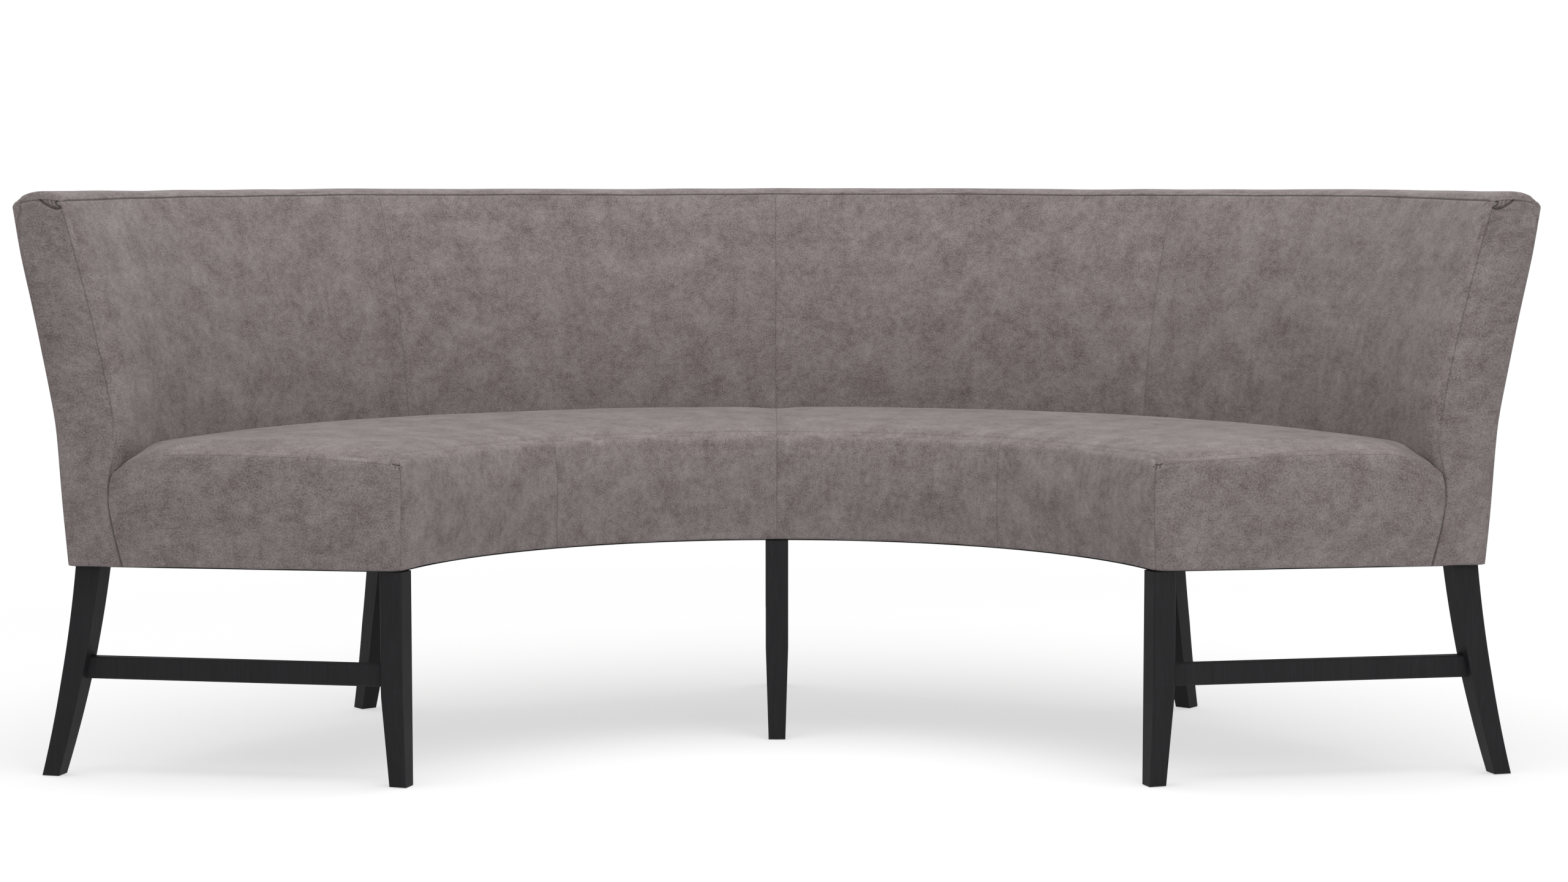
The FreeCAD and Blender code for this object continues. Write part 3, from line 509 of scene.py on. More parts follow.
def draw_skin(made, pad, skin, places, is_open, marks):
    """The outer faces of a pad, with painted shade marks for seams and folds, and maps for pattern and
    gathers.
    """
    seam_shade_mark = made.verts.layers.float.new("seam")
    fold_shade_mark = made.verts.layers.float.new("fold")
    weave = made.loops.layers.uv.new("cover")
    near_corner = made.loops.layers.uv.new("corner")
    breaks = [-pad.seam, 0, pad.seam]
    corners = [made.verts.new(place) for place in places]
    # Each corner keeps its painted shade: along seams and in folds
    for corner, line, fold_shade_value in zip(corners, *marks):
        corner[seam_shade_mark] = line
        corner[fold_shade_mark] = fold_shade_value
    for axis, side in FACES:
        first, second = OTHER_AXES[axis]
        for square in skin.squares(axis, side):
            spots = skin.corners[square]
            middle = spots.mean(axis=0)
            if is_open(axis, side, middle):
                continue
            panel = panel_of(middle, axis, side, breaks)
            face = made.faces.new([corners[n] for n in square])
            face.smooth = True
            for loop, spot in zip(face.loops, spots):
                loop[weave].uv = (spot[first] + panel * PANEL_STEP[0], spot[second] + panel * PANEL_STEP[1])
                loop[near_corner].uv = corner_place(spot, axis, side, skin.lines[0][-1])


def draw_room(made, room, is_open):
    """The faces of the room that a pad leaves for the timber, seen from inside it."""
    skin = Skin(room.lines)
    corners = [made.verts.new(place) for place in room.bent(skin.corners)]
    for axis, side in FACES:
        for square in skin.squares(axis, side):
            if not is_open(axis, side, skin.corners[square].mean(axis=0)):
                face = made.faces.new([corners[n] for n in square[::-1]])
                face.material_index = 1
                face.smooth = True


def upholster(name, pad, room, cover):
    """A pad with its sewn cover, blown up a little by cloth and closed over a hollow for the timber."""
    coarse, skin = Skin(coarse_lines(pad, COARSE_STEP)), Skin(pad.lines)
    moves = swollen(pad, coarse, cover["seams"], cover["held"])
    places = pad.bent(pad.softened(skin.corners)) + spread(moves, coarse, skin)
    normals = corner_normals(places, skin.all_squares())
    crease = folded(skin.corners, cover["folds"])
    sink = drawn_in(skin.corners, cover["seams"]) + crease
    sink += sum(uneven(skin.corners, size, amount) for size, amount in STUFFING_WAVES)
    sink *= cover["free"](skin.corners)
    made = bmesh.new()
    # Painted shade marks: how dark each seam line shows and how deep each fold lies, for the cover's colour
    marks = (seam_shade(skin.corners, cover["seams"]), np.clip(crease / FULL_CREASE, 0, 1))
    draw_skin(made, pad, skin, places - normals * sink[:, None], cover["is_open"], marks)
    draw_room(made, room, cover["room_is_open"])
    bmesh.ops.delete(made, geom=[corner for corner in made.verts if not corner.link_faces], context="VERTS")
    bridge = bmesh.ops.bridge_loops(made, edges=[edge for edge in made.edges if edge.is_boundary])
    for face in bridge["faces"]:
        face.material_index = 1
    bmesh.ops.recalc_face_normals(made, faces=made.faces)
    mesh = bpy.data.meshes.new(name)
    made.to_mesh(mesh)
    made.free()
    piece = add_object(name, mesh)
    rounded = piece.modifiers.new("rounded", "SUBSURF")
    rounded.levels = rounded.render_levels = 1
    return piece


# The seat pad
SEAT_MIDDLE_RADIUS = 0.78
SEAT_HALF = SEAT_MIDDLE_RADIUS * float(end_angle(SEAT_MIDDLE_RADIUS))
SEAT_SEAM_ANGLE = math.radians(36.7)
SEAT_SEAM = SEAT_MIDDLE_RADIUS * SEAT_SEAM_ANGLE
SEAT_FRONT_EDGE = 0.018
SEAT_END_EDGE = 0.013
SEAT_END_SOFTNESS = 0.012
SEAT_TOP_EDGE = 0.014
SEAT_REAR_EDGE = 0.006
SEAT_END_DROP = 0.034
FOOT_EDGE = 0.004
SEAT_END_SEAM = SEAT_HIGH - 0.013
SEAT_SEAM_REAR = SEAT_DEEP - 0.03
seat_pad = Pad(SEAT_HALF, SEAT_DEEP, SEAT_HIGH, seat_edges, SEAT_SEAM, SEAT_SEAM_ANGLE, seat_section)
seat_room = Pad(SEAT_HALF - TIMBER_INSET, SEAT_DEEP, DECK, seat_edges, SEAT_SEAM, SEAT_SEAM_ANGLE,
                hollow_seat_section, TIMBER_INSET)

# The back pad
BACK_MIDDLE_RADIUS = 1.05
BACK_HALF = BACK_MIDDLE_RADIUS * float(end_angle(BACK_MIDDLE_RADIUS))
BACK_SEAM_ANGLE = math.radians(37.9)
BACK_SEAM = BACK_MIDDLE_RADIUS * BACK_SEAM_ANGLE
BACK_INSIDE_EDGE = 0.010
BACK_END_EDGE = 0.012
BACK_REAR_END_EDGE = 0.003
BACK_REAR_EDGE = 0.013
BACK_TOP_EDGE = 0.009
BACK_TOP_REAR_EDGE = 0.004
BACK_DROOP_DEEP = 0.034
BACK_DROOP_HIGH = 0.005
BAND_SEAM = BACK_HIGH - 0.0045
CAP_SEAM = 0.010
CAP_TOP = BAND_SEAM - 0.0034
CAP_REAR = CAP_TOP - 0.002
CAP_UNDER = CAP_TOP - 0.0017
CAP_FRONT_HIGH = CAP_TOP - 0.008
CAP_FRONT_LOW = CREASE + 0.04
CAP_FOOT = CREASE - 0.035
back_pad = Pad(BACK_HALF, BACK_DEEP, BACK_HIGH, back_edges, BACK_SEAM, BACK_SEAM_ANGLE, back_section)
back_room = Pad(BACK_HALF - TIMBER_INSET, BACK_DEEP, TIMBER_HIGH, back_edges, BACK_SEAM, BACK_SEAM_ANGLE,
                hollow_back_section, TIMBER_INSET)

# Seams and gathers: how wide their painted shade shows, and how deep and wide the gathers sink
LINE_WIDTH = 0.0008
BAND_WIDTH = 0.0014
JOINT_WIDTH = 0.0016
GATHER_DEPTH = 1.5 * MILLIMETRE
GATHER_WIDTH = 1.6 * MILLIMETRE


def seam(dark, *line, width=LINE_WIDTH, sewn=True):
    """A line between covers on a pad's box: how dark and wide its painted shade shows and whether it is
    sewn.
    """
    return {"dark": dark, "line": line, "width": width, "sewn": sewn}


def joint(*line):
    """The unsewn line where seat and back shut on each other, darkened with painted shade."""
    return seam(0.7, *line, width=JOINT_WIDTH, sewn=False)


def seat_seams():
    """The seat cover's sewn lines."""
    lip, half, rear, high, low = SEAT_FRONT_EDGE, SEAT_HALF, SEAT_DEEP, SEAT_HIGH, SEAT_END_SEAM
    lines = [seam(0.3, (-half, lip, high), (half, lip, high)), seam(0.1, (0, lip, high), (0, rear, high))]
    for side in (-half, half):
        lines.append(seam(0.06, (side, SEAT_SEAM_REAR, low), (side, lip, low), (side, lip, high)))
        lines.append(seam(0.18, (side, 0, 0), (side, 0, high), (side, lip, high)))
        lines.append(joint((side, rear, 0), (side, rear, high)))
    for place in (0, -SEAT_SEAM, SEAT_SEAM):
        lines.append(seam(0.3, (place, 0, 0), (place, 0, high), (place, lip, high)))
    return lines


def back_seams():
    """The back cover's sewn lines."""
    half, rear, band, cap = BACK_HALF, BACK_DEEP, BAND_SEAM, CAP_SEAM
    lines = [seam(1.0, (-half, 0, band), (half, 0, band), width=BAND_WIDTH),
             seam(0.6, (half, rear, band), (-half, rear, band)), seam(0.5, (0, rear, 0), (0, rear, band))]
    for place in (0, -BACK_SEAM, BACK_SEAM):
        lines.append(seam(0.25, (place, 0, TUCK), (place, 0, band)))
    for side in (-half, half):
        lines.append(seam(0.7, (side, 0, band), (side, cap, CAP_TOP), (side, rear, CAP_REAR)))
        lines.append(seam(0.4, (side, 0, CAP_FOOT), (side, cap, CAP_FRONT_LOW), (side, cap, CAP_FRONT_HIGH)))
        lines.append(seam(0.05, (side, rear, 0), (side, rear, CAP_REAR)))
        lines.append(joint((side, 0, 0), (side, 0, CAP_FOOT)))
    return lines


def from_corner(pad, folds):
    """Folds at both ends of a pad, in millimetres in from its end, from its front and down from its top."""
    half, _, high = pad.top

    def place(spot):
        inward, deep, down = [part * MILLIMETRE for part in spot]
        return half - inward, deep, high - down

    return both_sides([(place(start), place(end), width * MILLIMETRE, deep * MILLIMETRE)
                       for start, end, width, deep in folds])


def seat_folds():
    """Soft folds of the seat cover at its front corners and beside the crease."""
    lip, rear = SEAT_FRONT_EDGE / MILLIMETRE, SEAT_DEEP / MILLIMETRE
    return from_corner(seat_pad, [
        ((4, 0, 6), (2, 0, 34), 4, 1.0), ((0, lip, 8), (0, lip + 14, 30), 5, 0.8),
        ((10, 12, 0), (40, 22, 0), 5, 1.0), ((60, rear - 20, 0), (220, rear - 60, 0), 14, 3.0),
        ((200, rear - 15, 0), (340, rear - 35, 0), 10, 2.4),
        ((100, rear - 70, 0), (200, rear - 150, 0), 16, 2.6),
        ((450, rear - 12, 0), (620, rear - 30, 0), 10, 2.0)])


def back_folds():
    """Soft folds of the back cover below the band at its top corners."""
    band = (BACK_HIGH - BAND_SEAM) / MILLIMETRE
    return from_corner(back_pad, [
        ((0, 12, band + 12), (0, 34, band + 30), 5, 1.0), ((0, 14, band + 30), (0, 36, band + 52), 6, 0.9),
        ((0, 12, band + 58), (0, 30, band + 68), 5, 0.7), ((0, 40, band + 10), (0, 60, band + 40), 7, 0.8),
        ((10, 0, band + 8), (50, 0, band + 26), 6, 0.9)])


def gathers_below(top, gathers):
    """Fine gathers on the map of a corner, given in millimetres below a seam: dark, width and line; dark
    sets their painted shade and their depth.
    """
    return [{"dark": dark, "width": width * MILLIMETRE,
             "line": [(across * MILLIMETRE, top - down * MILLIMETRE) for across, down in line]}
            for dark, width, *line in gathers]


def seat_gathers():
    """Fine gathers of the seat cover at its front corners."""
    return gathers_below(SEAT_END_SEAM, [
        (1.0, 2.0, (14, -1), (7, -1), (0, -4)),
        (0.8, 1.4, (10, 1), (9.5, 6)),
        (0.8, 1.4, (4, 0), (2, 8)),
        (0.35, 1.6, (0, 4), (0, 30)),
        (0.8, 1.4, (-4, 1), (-8, 4)),
        (0.2, 4.0, (6, 12), (22, 10))])


def back_gathers():
    """Fine gathers of the back cover at its top corners."""
    return gathers_below(CAP_TOP, [
        (1.0, 2.4, (39, 0), (35.5, 6.2), (26, 12.9), (17, 14.9), (10, 11)),
        (0.7, 1.4, (36, 1.5), (32, 5.7), (24.5, 10.5), (15.4, 12.5)),
        (0.7, 1.2, (28, 1), (27, 6.5)),
        (0.7, 1.2, (22, 0.8), (21.5, 7.8)),
        (1.0, 1.8, (10.5, 10.9), (15.4, 7), (16, 3), (12, 0)),
        (0.6, 1.6, (-4, -1), (-12, 6)),
        (0.22, 3.5, (13, 18), (19, 28)),
        (0.22, 3.5, (12, 36), (30, 31)),
        (0.18, 4.0, (12, 50), (26, 46))])


def sunk_gathers(gathers, half):
    """The fine gathers of a corner as folds in the cover's form, at both ends."""
    def place(spot):
        across, height = spot
        return (half, across, height) if across >= 0 else (half + across, 0.0, height)

    folds = []
    for item in gathers:
        width, depth = max(item["width"], GATHER_WIDTH), GATHER_DEPTH * item["dark"]
        folds += [(place(start), place(end), width, depth) for start, end in runs_of(item)]
    return both_sides(folds)


def fine_lines(pad, deep_marks, high_marks, spacing):
    """The fine skin's lines along, across and up a pad, closer near its top corners."""
    half, deep, high = pad.top
    low_edge, top_edge = [edges[0] for edges in pad.edges(np.zeros(1), np.ones(1), np.ones(1))]
    near = [step * CORNER_STEP for step in range(1, CORNER_LINES + 1)]
    along = [side * (half - place) for side in (-1, 1) for place in near[1::2]]
    along += [line for at in (0, -pad.seam, pad.seam) for line in beside(at)]
    across = [*edge_lines(0, low_edge[1], 1), *edge_lines(deep, top_edge[1], -1), *near, *deep_marks]
    upright = [*edge_lines(0, low_edge[2], 1), *[high - place for place in near], *high_marks]
    return [grid_lines(-half, half, spacing, along), grid_lines(0, deep, spacing, across),
            grid_lines(0, high, spacing, upright)]


def coarse_lines(pad, spacing, *high_marks):
    """Wide-set lines of a pad, for its swelling or its room."""
    half, deep, high = pad.top
    edge = COARSE_EDGE
    return [grid_lines(-half, half, spacing, [0, -pad.seam, pad.seam, edge - half, half - edge]),
            grid_lines(0, deep, spacing, [edge, deep - edge]),
            grid_lines(0, high, spacing, high_marks or [high - edge])]


def within(spot, half):
    """Whether a place is over the timber, inside the padding of a pad's ends."""
    return abs(spot[0]) < half - TIMBER_INSET


def make_seat():
    """The seat pad with its cover, turned in under the rails and open to the timber."""
    deep_marks = [*beside(SEAT_FRONT_EDGE), TIMBER_INSET, SEAT_DEEP * SEAT_SHUT_DEEP[0]]
    seat_pad.lines = fine_lines(seat_pad, deep_marks, [*beside(SEAT_END_SEAM), DECK], SEAT_STEP)
    seat_room.lines = coarse_lines(seat_room, ROOM_STEP)

    def is_open(axis, side, spot):
        under = (axis, side) == BOTTOM and spot[1] > TIMBER_INSET
        behind = (axis, side) == REAR and spot[2] < DECK
        return (under or behind) and within(spot, SEAT_HALF)

    def room_is_open(axis, side, spot):
        return (axis, side) in (BOTTOM, REAR)

    def free(spots):
        return falling(spots[:, 1], SEAT_DEEP, FREE_REACH)

    def held(spots):
        return (spots[:, 2] < HELD_FOOT) | (spots[:, 1] > SEAT_DEEP - MILLIMETRE)

    folds = seat_folds() + sunk_gathers(seat_gathers(), SEAT_HALF)
    return upholster("seat_upholstery", seat_pad, seat_room, {
        "seams": seat_seams(), "folds": folds, "free": free, "held": held, "is_open": is_open,
        "room_is_open": room_is_open})


def make_back():
    """The back pad with its cover, open below to the timber and to the seat."""
    high_marks = [*beside(BAND_SEAM), *beside(CAP_TOP), *beside(CAP_UNDER), TUCK, CREASE]
    back_pad.lines = fine_lines(back_pad, beside(CAP_SEAM), high_marks, BACK_STEP)
    back_room.lines = coarse_lines(back_room, ROOM_STEP, TUCK)

    def room_is_open(axis, side, spot):
        return (axis, side) == BOTTOM or ((axis, side) == FRONT and spot[2] < TUCK)

    def is_open(axis, side, spot):
        return room_is_open(axis, side, spot) and within(spot, BACK_HALF)

    def free(spots):
        above = rising(spots[:, 2], CREASE, FREE_REACH)
        return np.maximum(above, rising(spots[:, 1], SHUT_DEPTH, FREE_REACH))

    def held(spots):
        low, rear = spots[:, 2] < CREASE, spots[:, 1] > BACK_DEEP - MILLIMETRE
        return low | rear | (spots[:, 2] > BACK_HIGH - HELD_TOP)

    folds = back_folds() + sunk_gathers(back_gathers(), BACK_HALF)
    return upholster("back_upholstery", back_pad, back_room, {
        "seams": back_seams(), "folds": folds, "free": free, "held": held, "is_open": is_open,
        "room_is_open": room_is_open})


# Finishes

def shade(red, green, blue):
    """A colour given in parts of 255, as the linear colour that a node takes."""
    parts = [part / 255 for part in (red, green, blue)]
    return tuple(p / 12.92 if p <= 0.04045 else ((p + 0.055) / 1.055) ** 2.4 for p in parts) + (1.0,)


WHITE = (1, 1, 1, 1)
COVER_DARK = shade(82, 70, 69)
COVER_PALE = shade(140, 132, 131)
# Painted shade colour for the seam grooves, the joint between seat and back, folds and gathers
COVER_SEAM_SHADE = shade(40, 34, 34)


class Wire:
    """A node's output, on which sums are written as plain expressions."""

    def __init__(self, finish, socket):
        self.finish, self.socket = finish, socket

    def combined(self, operation, first, second):
        """The output of a Math node that works on two values."""
        return self.finish.add("ShaderNodeMath", {"operation": operation}, {0: first, 1: second})

    def __add__(self, other):
        return self.combined("ADD", self, other)

    def __radd__(self, other):
        return self.combined("ADD", other, self)

    def __sub__(self, other):
        return self.combined("SUBTRACT", self, other)

    def __rsub__(self, other):
        return self.combined("SUBTRACT", other, self)

    def __mul__(self, other):
        return self.combined("MULTIPLY", self, other)

    def __rmul__(self, other):
        return self.combined("MULTIPLY", other, self)


class Tree:
    """A tree of nodes, built node by node."""

    def __init__(self, tree):
        self.tree = tree
        self.tree.nodes.clear()

    def add(self, kind, settings=None, inputs=None, output=0):
        """A new node, with its settings first and then its inputs' values or wires."""
        node = self.tree.nodes.new(kind)
        for name, value in (settings or {}).items():
            setattr(node, name, value)
        for name, value in (inputs or {}).items():
            if isinstance(value, Wire):
                self.tree.links.new(value.socket, node.inputs[name])
            else:
                node.inputs[name].default_value = value
        return Wire(self, node.outputs[output]) if node.outputs else node

    def ray(self, kind):
        """Whether the light that is followed is of a kind."""
        return self.add("ShaderNodeLightPath", output=f"Is {kind} Ray")


class Finish(Tree):
    """One material and its tree."""

    def __init__(self, name):
        self.material = bpy.data.materials.new(name)
        self.material.use_nodes = True
        super().__init__(self.material.node_tree)

    def place(self):
        """Places in the piece's own room."""
        return self.add("ShaderNodeTexCoord", output="Object")

    def blend(self, share, first, second, how="MIX"):
        """Two colours mixed by a share."""
        return self.add("ShaderNodeMix", {"data_type": "RGBA", "blend_type": how, "clamp_factor": True},
                        {0: share, 6: first, 7: second}, 2)

    def ramp(self, share, low, high):
        """A share spread from nothing at low to one at high."""
        return self.add("ShaderNodeMapRange", {"clamp": True}, {0: share, 1: low, 2: high})

    def placed(self, vector, size=(1, 1, 1), turn=(0, 0, 0)):
        """Places scaled and turned, so that a pattern is stretched or lies askew."""
        return self.add("ShaderNodeMapping", {}, {0: vector, 3: size, 2: turn})

    def speckle(self, vector, scale, detail=2.0, rough=0.5, bend=0.0):
        """Cloudy noise at each place."""
        return self.add("ShaderNodeTexNoise", {}, {"Vector": vector, "Scale": scale, "Detail": detail,
                                                   "Roughness": rough, "Distortion": bend})

    def beside_run(self, place, start, end, width):
        """How near a place lies to a short run: one on it, nothing a width away."""
        run = Vector((end[0] - start[0], end[1] - start[1], 0))
        from_start = self.add("ShaderNodeVectorMath", {"operation": "SUBTRACT"}, {0: place, 1: (*start, 0)})
        share = self.add("ShaderNodeVectorMath", {"operation": "DOT_PRODUCT"},
                         {0: from_start, 1: run / run.length_squared}, 1)
        share = self.ramp(share, 0, 1)
        way = self.add("ShaderNodeVectorMath", {"operation": "SCALE"}, {0: run, "Scale": share})
        away = self.add("ShaderNodeVectorMath", {"operation": "DISTANCE"}, {0: from_start, 1: way}, 1)
        return self.ramp(away, width, 0)

    def gathered(self, place, gathers):
        """How deep in a gather a place lies."""
        near = [self.beside_run(place, start, end, item["width"]) * item["dark"]
                for item in gathers for start, end in runs_of(item)]
        return reduce(lambda total, other: other.combined("MAXIMUM", other, total), near)

    def bump(self, height, strength, distance, below=None):
        """Relief from a height, on top of another relief where one is given."""
        inputs = {"Height": height, "Strength": strength, "Distance": distance}
        if below is not None:
            inputs["Normal"] = below
        return self.add("ShaderNodeBump", {}, inputs)

    def surface(self, **inputs):
        """Finishes the material with its shader."""
        named = {name.replace("_", " "): value for name, value in inputs.items()}
        shader = self.add("ShaderNodeBsdfPrincipled", {}, named)
        self.add("ShaderNodeOutputMaterial", {}, {"Surface": shader})
        return self.material


def cover_finish(name, gathers):
    """Suede-look cover: cloudy taupe with a fine short nap, with painted shade in its seams, folds and
    gathers.
    """
    finish = Finish(name)
    flat = finish.add("ShaderNodeUVMap", {"uv_map": "cover"})
    corner = finish.add("ShaderNodeUVMap", {"uv_map": "corner"})
    drift = finish.speckle(flat, 7, 1.0)
    clouds = finish.ramp(finish.speckle(flat, 19, 8.0, 0.68), 0.3, 0.7)
    mottles = finish.ramp(finish.speckle(flat, 90, 4.0, 0.65), 0.3, 0.7)
    nap = finish.ramp(finish.speckle(flat, 420, 2.0, 0.6), 0.3, 0.7)
    tone = finish.ramp(drift * 0.15 + clouds * 0.29 + mottles * 0.2 + nap * 0.36, 0.22, 0.78)
    napped = finish.blend(tone, COVER_DARK, COVER_PALE)
    # Painted shade marks of seams and folds, drawn onto the skin as attributes
    painted_seam_shade = finish.add("ShaderNodeAttribute", {"attribute_name": "seam"}, output="Fac")
    fold = finish.add("ShaderNodeAttribute", {"attribute_name": "fold"}, output="Fac")
    gathered = finish.gathered(corner, gathers)
    # Painted shade: seams, folds and gathers darken the colour towards the shade colour; the gathers also
    # give relief
    sewn = finish.blend(painted_seam_shade * 0.8 + fold * 0.2 + gathered * 0.8, napped, COVER_SEAM_SHADE)
    grain = finish.bump(clouds * 0.4 + mottles * 0.3 + nap * 0.3, 0.2, 0.0006)
    relief = finish.bump(1 - gathered, 0.8, 0.0012, grain)
    return finish.surface(Base_Color=sewn, Roughness=0.78 + tone * 0.08, Normal=relief,
                          Sheen_Weight=0.12, Sheen_Roughness=0.5, Specular_IOR_Level=0.3)


def leg_finish():
    """Near-black stained beech with a faint long grain, a little worn along its length."""
    finish = Finish("black_stained_wood")
    place = finish.place()
    grain = finish.speckle(finish.placed(place, (1.0, 1.0, 0.07)), 260, 4.0, 0.6, 0.4)
    bands = finish.speckle(finish.placed(place, (1.0, 1.0, 0.12)), 45, 2.0, 0.5)
    rubbed = finish.speckle(place, 14, 3.0, 0.6)
    colour = finish.blend(finish.ramp(grain, 0.35, 0.7), shade(25, 25, 27), shade(33, 33, 35))
    streaked = finish.blend(finish.ramp(bands, 0.4, 0.75) * 0.35, colour, shade(22, 22, 24))
    relief = finish.bump(grain, 0.12, 0.0002)
    return finish.surface(Base_Color=streaked, Roughness=0.55 + rubbed * 0.14, Normal=relief,
                          Specular_IOR_Level=0.2)


def timber_finish():
    """Sawn pale frame timber with rings along each length."""
    finish = Finish("pale_frame_timber")
    place = finish.place()
    rings = finish.add("ShaderNodeTexWave", {"wave_type": "RINGS", "rings_direction": "Z"},
                       {"Vector": finish.placed(place, (1.0, 1.0, 0.15)), "Scale": 16.0, "Distortion": 5.0,
                        "Detail": 2.0}, "Fac")
    pores = finish.speckle(finish.placed(place, (1.0, 1.0, 0.1)), 300, 3.0)
    colour = finish.blend(rings * 0.5 + pores * 0.4, shade(214, 182, 138), shade(176, 138, 94))
    return finish.surface(Base_Color=colour, Roughness=0.6 + pores * 0.15,
                          Normal=finish.bump(pores, 0.3, 0.0004))


def foam_finish():
    """Open-cell foam with its wadding."""
    finish = Finish("foam_padding")
    place = finish.place()
    cells = finish.add("ShaderNodeTexVoronoi", {}, {"Vector": place, "Scale": 420.0}, "Distance")
    colour = finish.blend(finish.ramp(cells, 0.1, 0.7), shade(236, 226, 190), shade(206, 192, 150))
    return finish.surface(Base_Color=colour, Roughness=0.9 + cells * 0.05,
                          Normal=finish.bump(cells, 0.4, 0.0008))


def woven_finish(name, low, high, thread):
    """Plain woven cloth: threads over and under each other."""
    finish = Finish(name)
    place = finish.place()
    turned = finish.placed(place, (1, 1, 1), (0, 0, math.radians(45)))
    weft, warp = [finish.add("ShaderNodeTexWave", {"bands_direction": way},
                             {"Vector": turned, "Scale": thread}, "Fac") for way in "XY"]
    fluff = finish.speckle(place, 60, 3.0)
    cloth = weft * 0.4 + warp * 0.4 + fluff * 0.3
    return finish.surface(Base_Color=finish.blend(cloth, low, high), Roughness=0.85 + fluff * 0.1,
                          Normal=finish.bump(weft * warp, 0.4, 0.0004))


def dust_cloth_finish():
    """Thin black dust cloth."""
    return woven_finish("black_dust_cloth", shade(24, 24, 26), shade(48, 48, 50), 700)


def webbing_finish():
    """Coarse jute webbing."""
    return woven_finish("jute_webbing", shade(150, 122, 84), shade(196, 170, 124), 300)


def flecked_finish(name, fleck, low, high, rough, relief=None, **more):
    """A plain material that varies with fine flecks: their scale and detail, two colours and two shines."""
    finish = Finish(name)
    flecks = finish.speckle(finish.place(), *fleck)
    if relief:
        more["Normal"] = finish.bump(flecks, *relief)
    return finish.surface(Base_Color=finish.blend(flecks, low, high), Roughness=rough[0] + flecks * rough[1],
                          **more)


def glide_finish():
    """Black moulded nylon with a fine spark texture."""
    return flecked_finish("black_nylon", (900, 2.0), shade(26, 26, 27), shade(40, 40, 41), (0.45, 0.15),
                          (0.25, 0.0002))


def thread_finish():
    """Taupe sewing thread with its twist."""
    return flecked_finish("sewing_thread", (1500, 1.0), shade(58, 50, 50), shade(86, 78, 78), (0.6, 0.1))


def wire_finish():
    """Bright staple wire, dulled in places."""
    return flecked_finish("staple_wire", (300, 2.0), shade(150, 150, 152), shade(190, 190, 192), (0.3, 0.2),
                          Metallic=1.0)


def floor_finish():
    """White studio floor that keeps a soft light shadow near the bench and runs into the white surround."""
    finish = Finish("studio_floor")
    shows = finish.ray("Camera") + finish.ray("Glossy") + finish.ray("Transmission")
    reach = finish.add("ShaderNodeVectorMath", {"operation": "LENGTH"}, {0: finish.place()}, 1)
    away = finish.ramp(reach, SHADOW_REACH, SHADOW_END)
    plain = finish.add("ShaderNodeBsdfDiffuse", {}, {"Color": shade(226, 226, 226)})
    bright = finish.add("ShaderNodeBsdfDiffuse", {}, {"Color": WHITE})
    glow = finish.add("ShaderNodeEmission", {}, {"Color": WHITE, "Strength": 1.0})
    share = FLOOR_GLOW + away * (1 - FLOOR_GLOW)
    shown = finish.add("ShaderNodeMixShader", {}, {0: share, 1: bright, 2: glow})
    mixed = finish.add("ShaderNodeMixShader", {}, {0: shows, 1: plain, 2: shown})
    finish.add("ShaderNodeOutputMaterial", {}, {"Surface": mixed})
    return finish.material


# Studio

FLOOR_GLOW = 0.55
FLOOR_REACH = 40.0
SHADOW_REACH = 1.3
SHADOW_END = 2.3
SURROUND_LIGHT = 0.62
CAMERA_PLACE = (-0.0204, -5.1117, 0.9048)
CAMERA_TURN = 0.0063
CAMERA_TILT = 0.0840
CAMERA_LENS = 72.76
SENSOR_WIDTH = 36


def make_camera():
    """The camera of the reference view."""
    turn, tilt = CAMERA_TURN, CAMERA_TILT
    right = Vector((math.cos(turn), -math.sin(turn), 0))
    ahead = Vector((math.sin(turn) * math.cos(tilt), math.cos(turn) * math.cos(tilt), -math.sin(tilt)))
    data = bpy.data.cameras.new("camera")
    data.lens = CAMERA_LENS
    data.sensor_width = SENSOR_WIDTH
    camera = add_object("camera", data)
    turned = Matrix((right, right.cross(ahead), -ahead)).transposed().to_4x4()
    camera.matrix_world = Matrix.Translation(CAMERA_PLACE) @ turned
    bpy.context.scene.camera = camera


def soft_lamp(name, place, aim, size, power):
    """A large soft lamp that looks at a point."""
    data = bpy.data.lights.new(name, "AREA")
    data.shape = "RECTANGLE"
    data.size, data.size_y = size
    data.energy = power
    lamp = add_object(name, data)
    lamp.location = place
    lamp.rotation_euler = (Vector(aim) - Vector(place)).to_track_quat("-Z", "Y").to_euler()


def make_floor():
    """A wide white floor, which is stage and no part of the bench."""
    mesh = bpy.data.meshes.new("studio_floor")
    corners = [(x * FLOOR_REACH, y * FLOOR_REACH, 0) for x, y in ((-1, -1), (1, -1), (1, 1), (-1, 1))]
    mesh.from_pydata(corners, [], [(0, 1, 2, 3)])
    floor = add_object("studio_floor", mesh)
    mesh.materials.append(floor_finish())


def make_surround():
    """A surround that is white to the camera and gives the bench a softer light."""
    world = bpy.data.worlds.new("surround")
    bpy.context.scene.world = world
    world.use_nodes = True
    tree = Tree(world.node_tree)
    seen = tree.ray("Camera")
    shows = seen.combined("MAXIMUM", seen, tree.ray("Transmission"))
    light = tree.add("ShaderNodeBackground", {}, {"Color": WHITE, "Strength": SURROUND_LIGHT})
    white = tree.add("ShaderNodeBackground", {}, {"Color": WHITE})
    mixed = tree.add("ShaderNodeMixShader", {}, {0: shows, 1: light, 2: white})
    tree.add("ShaderNodeOutputWorld", {}, {"Surface": mixed})


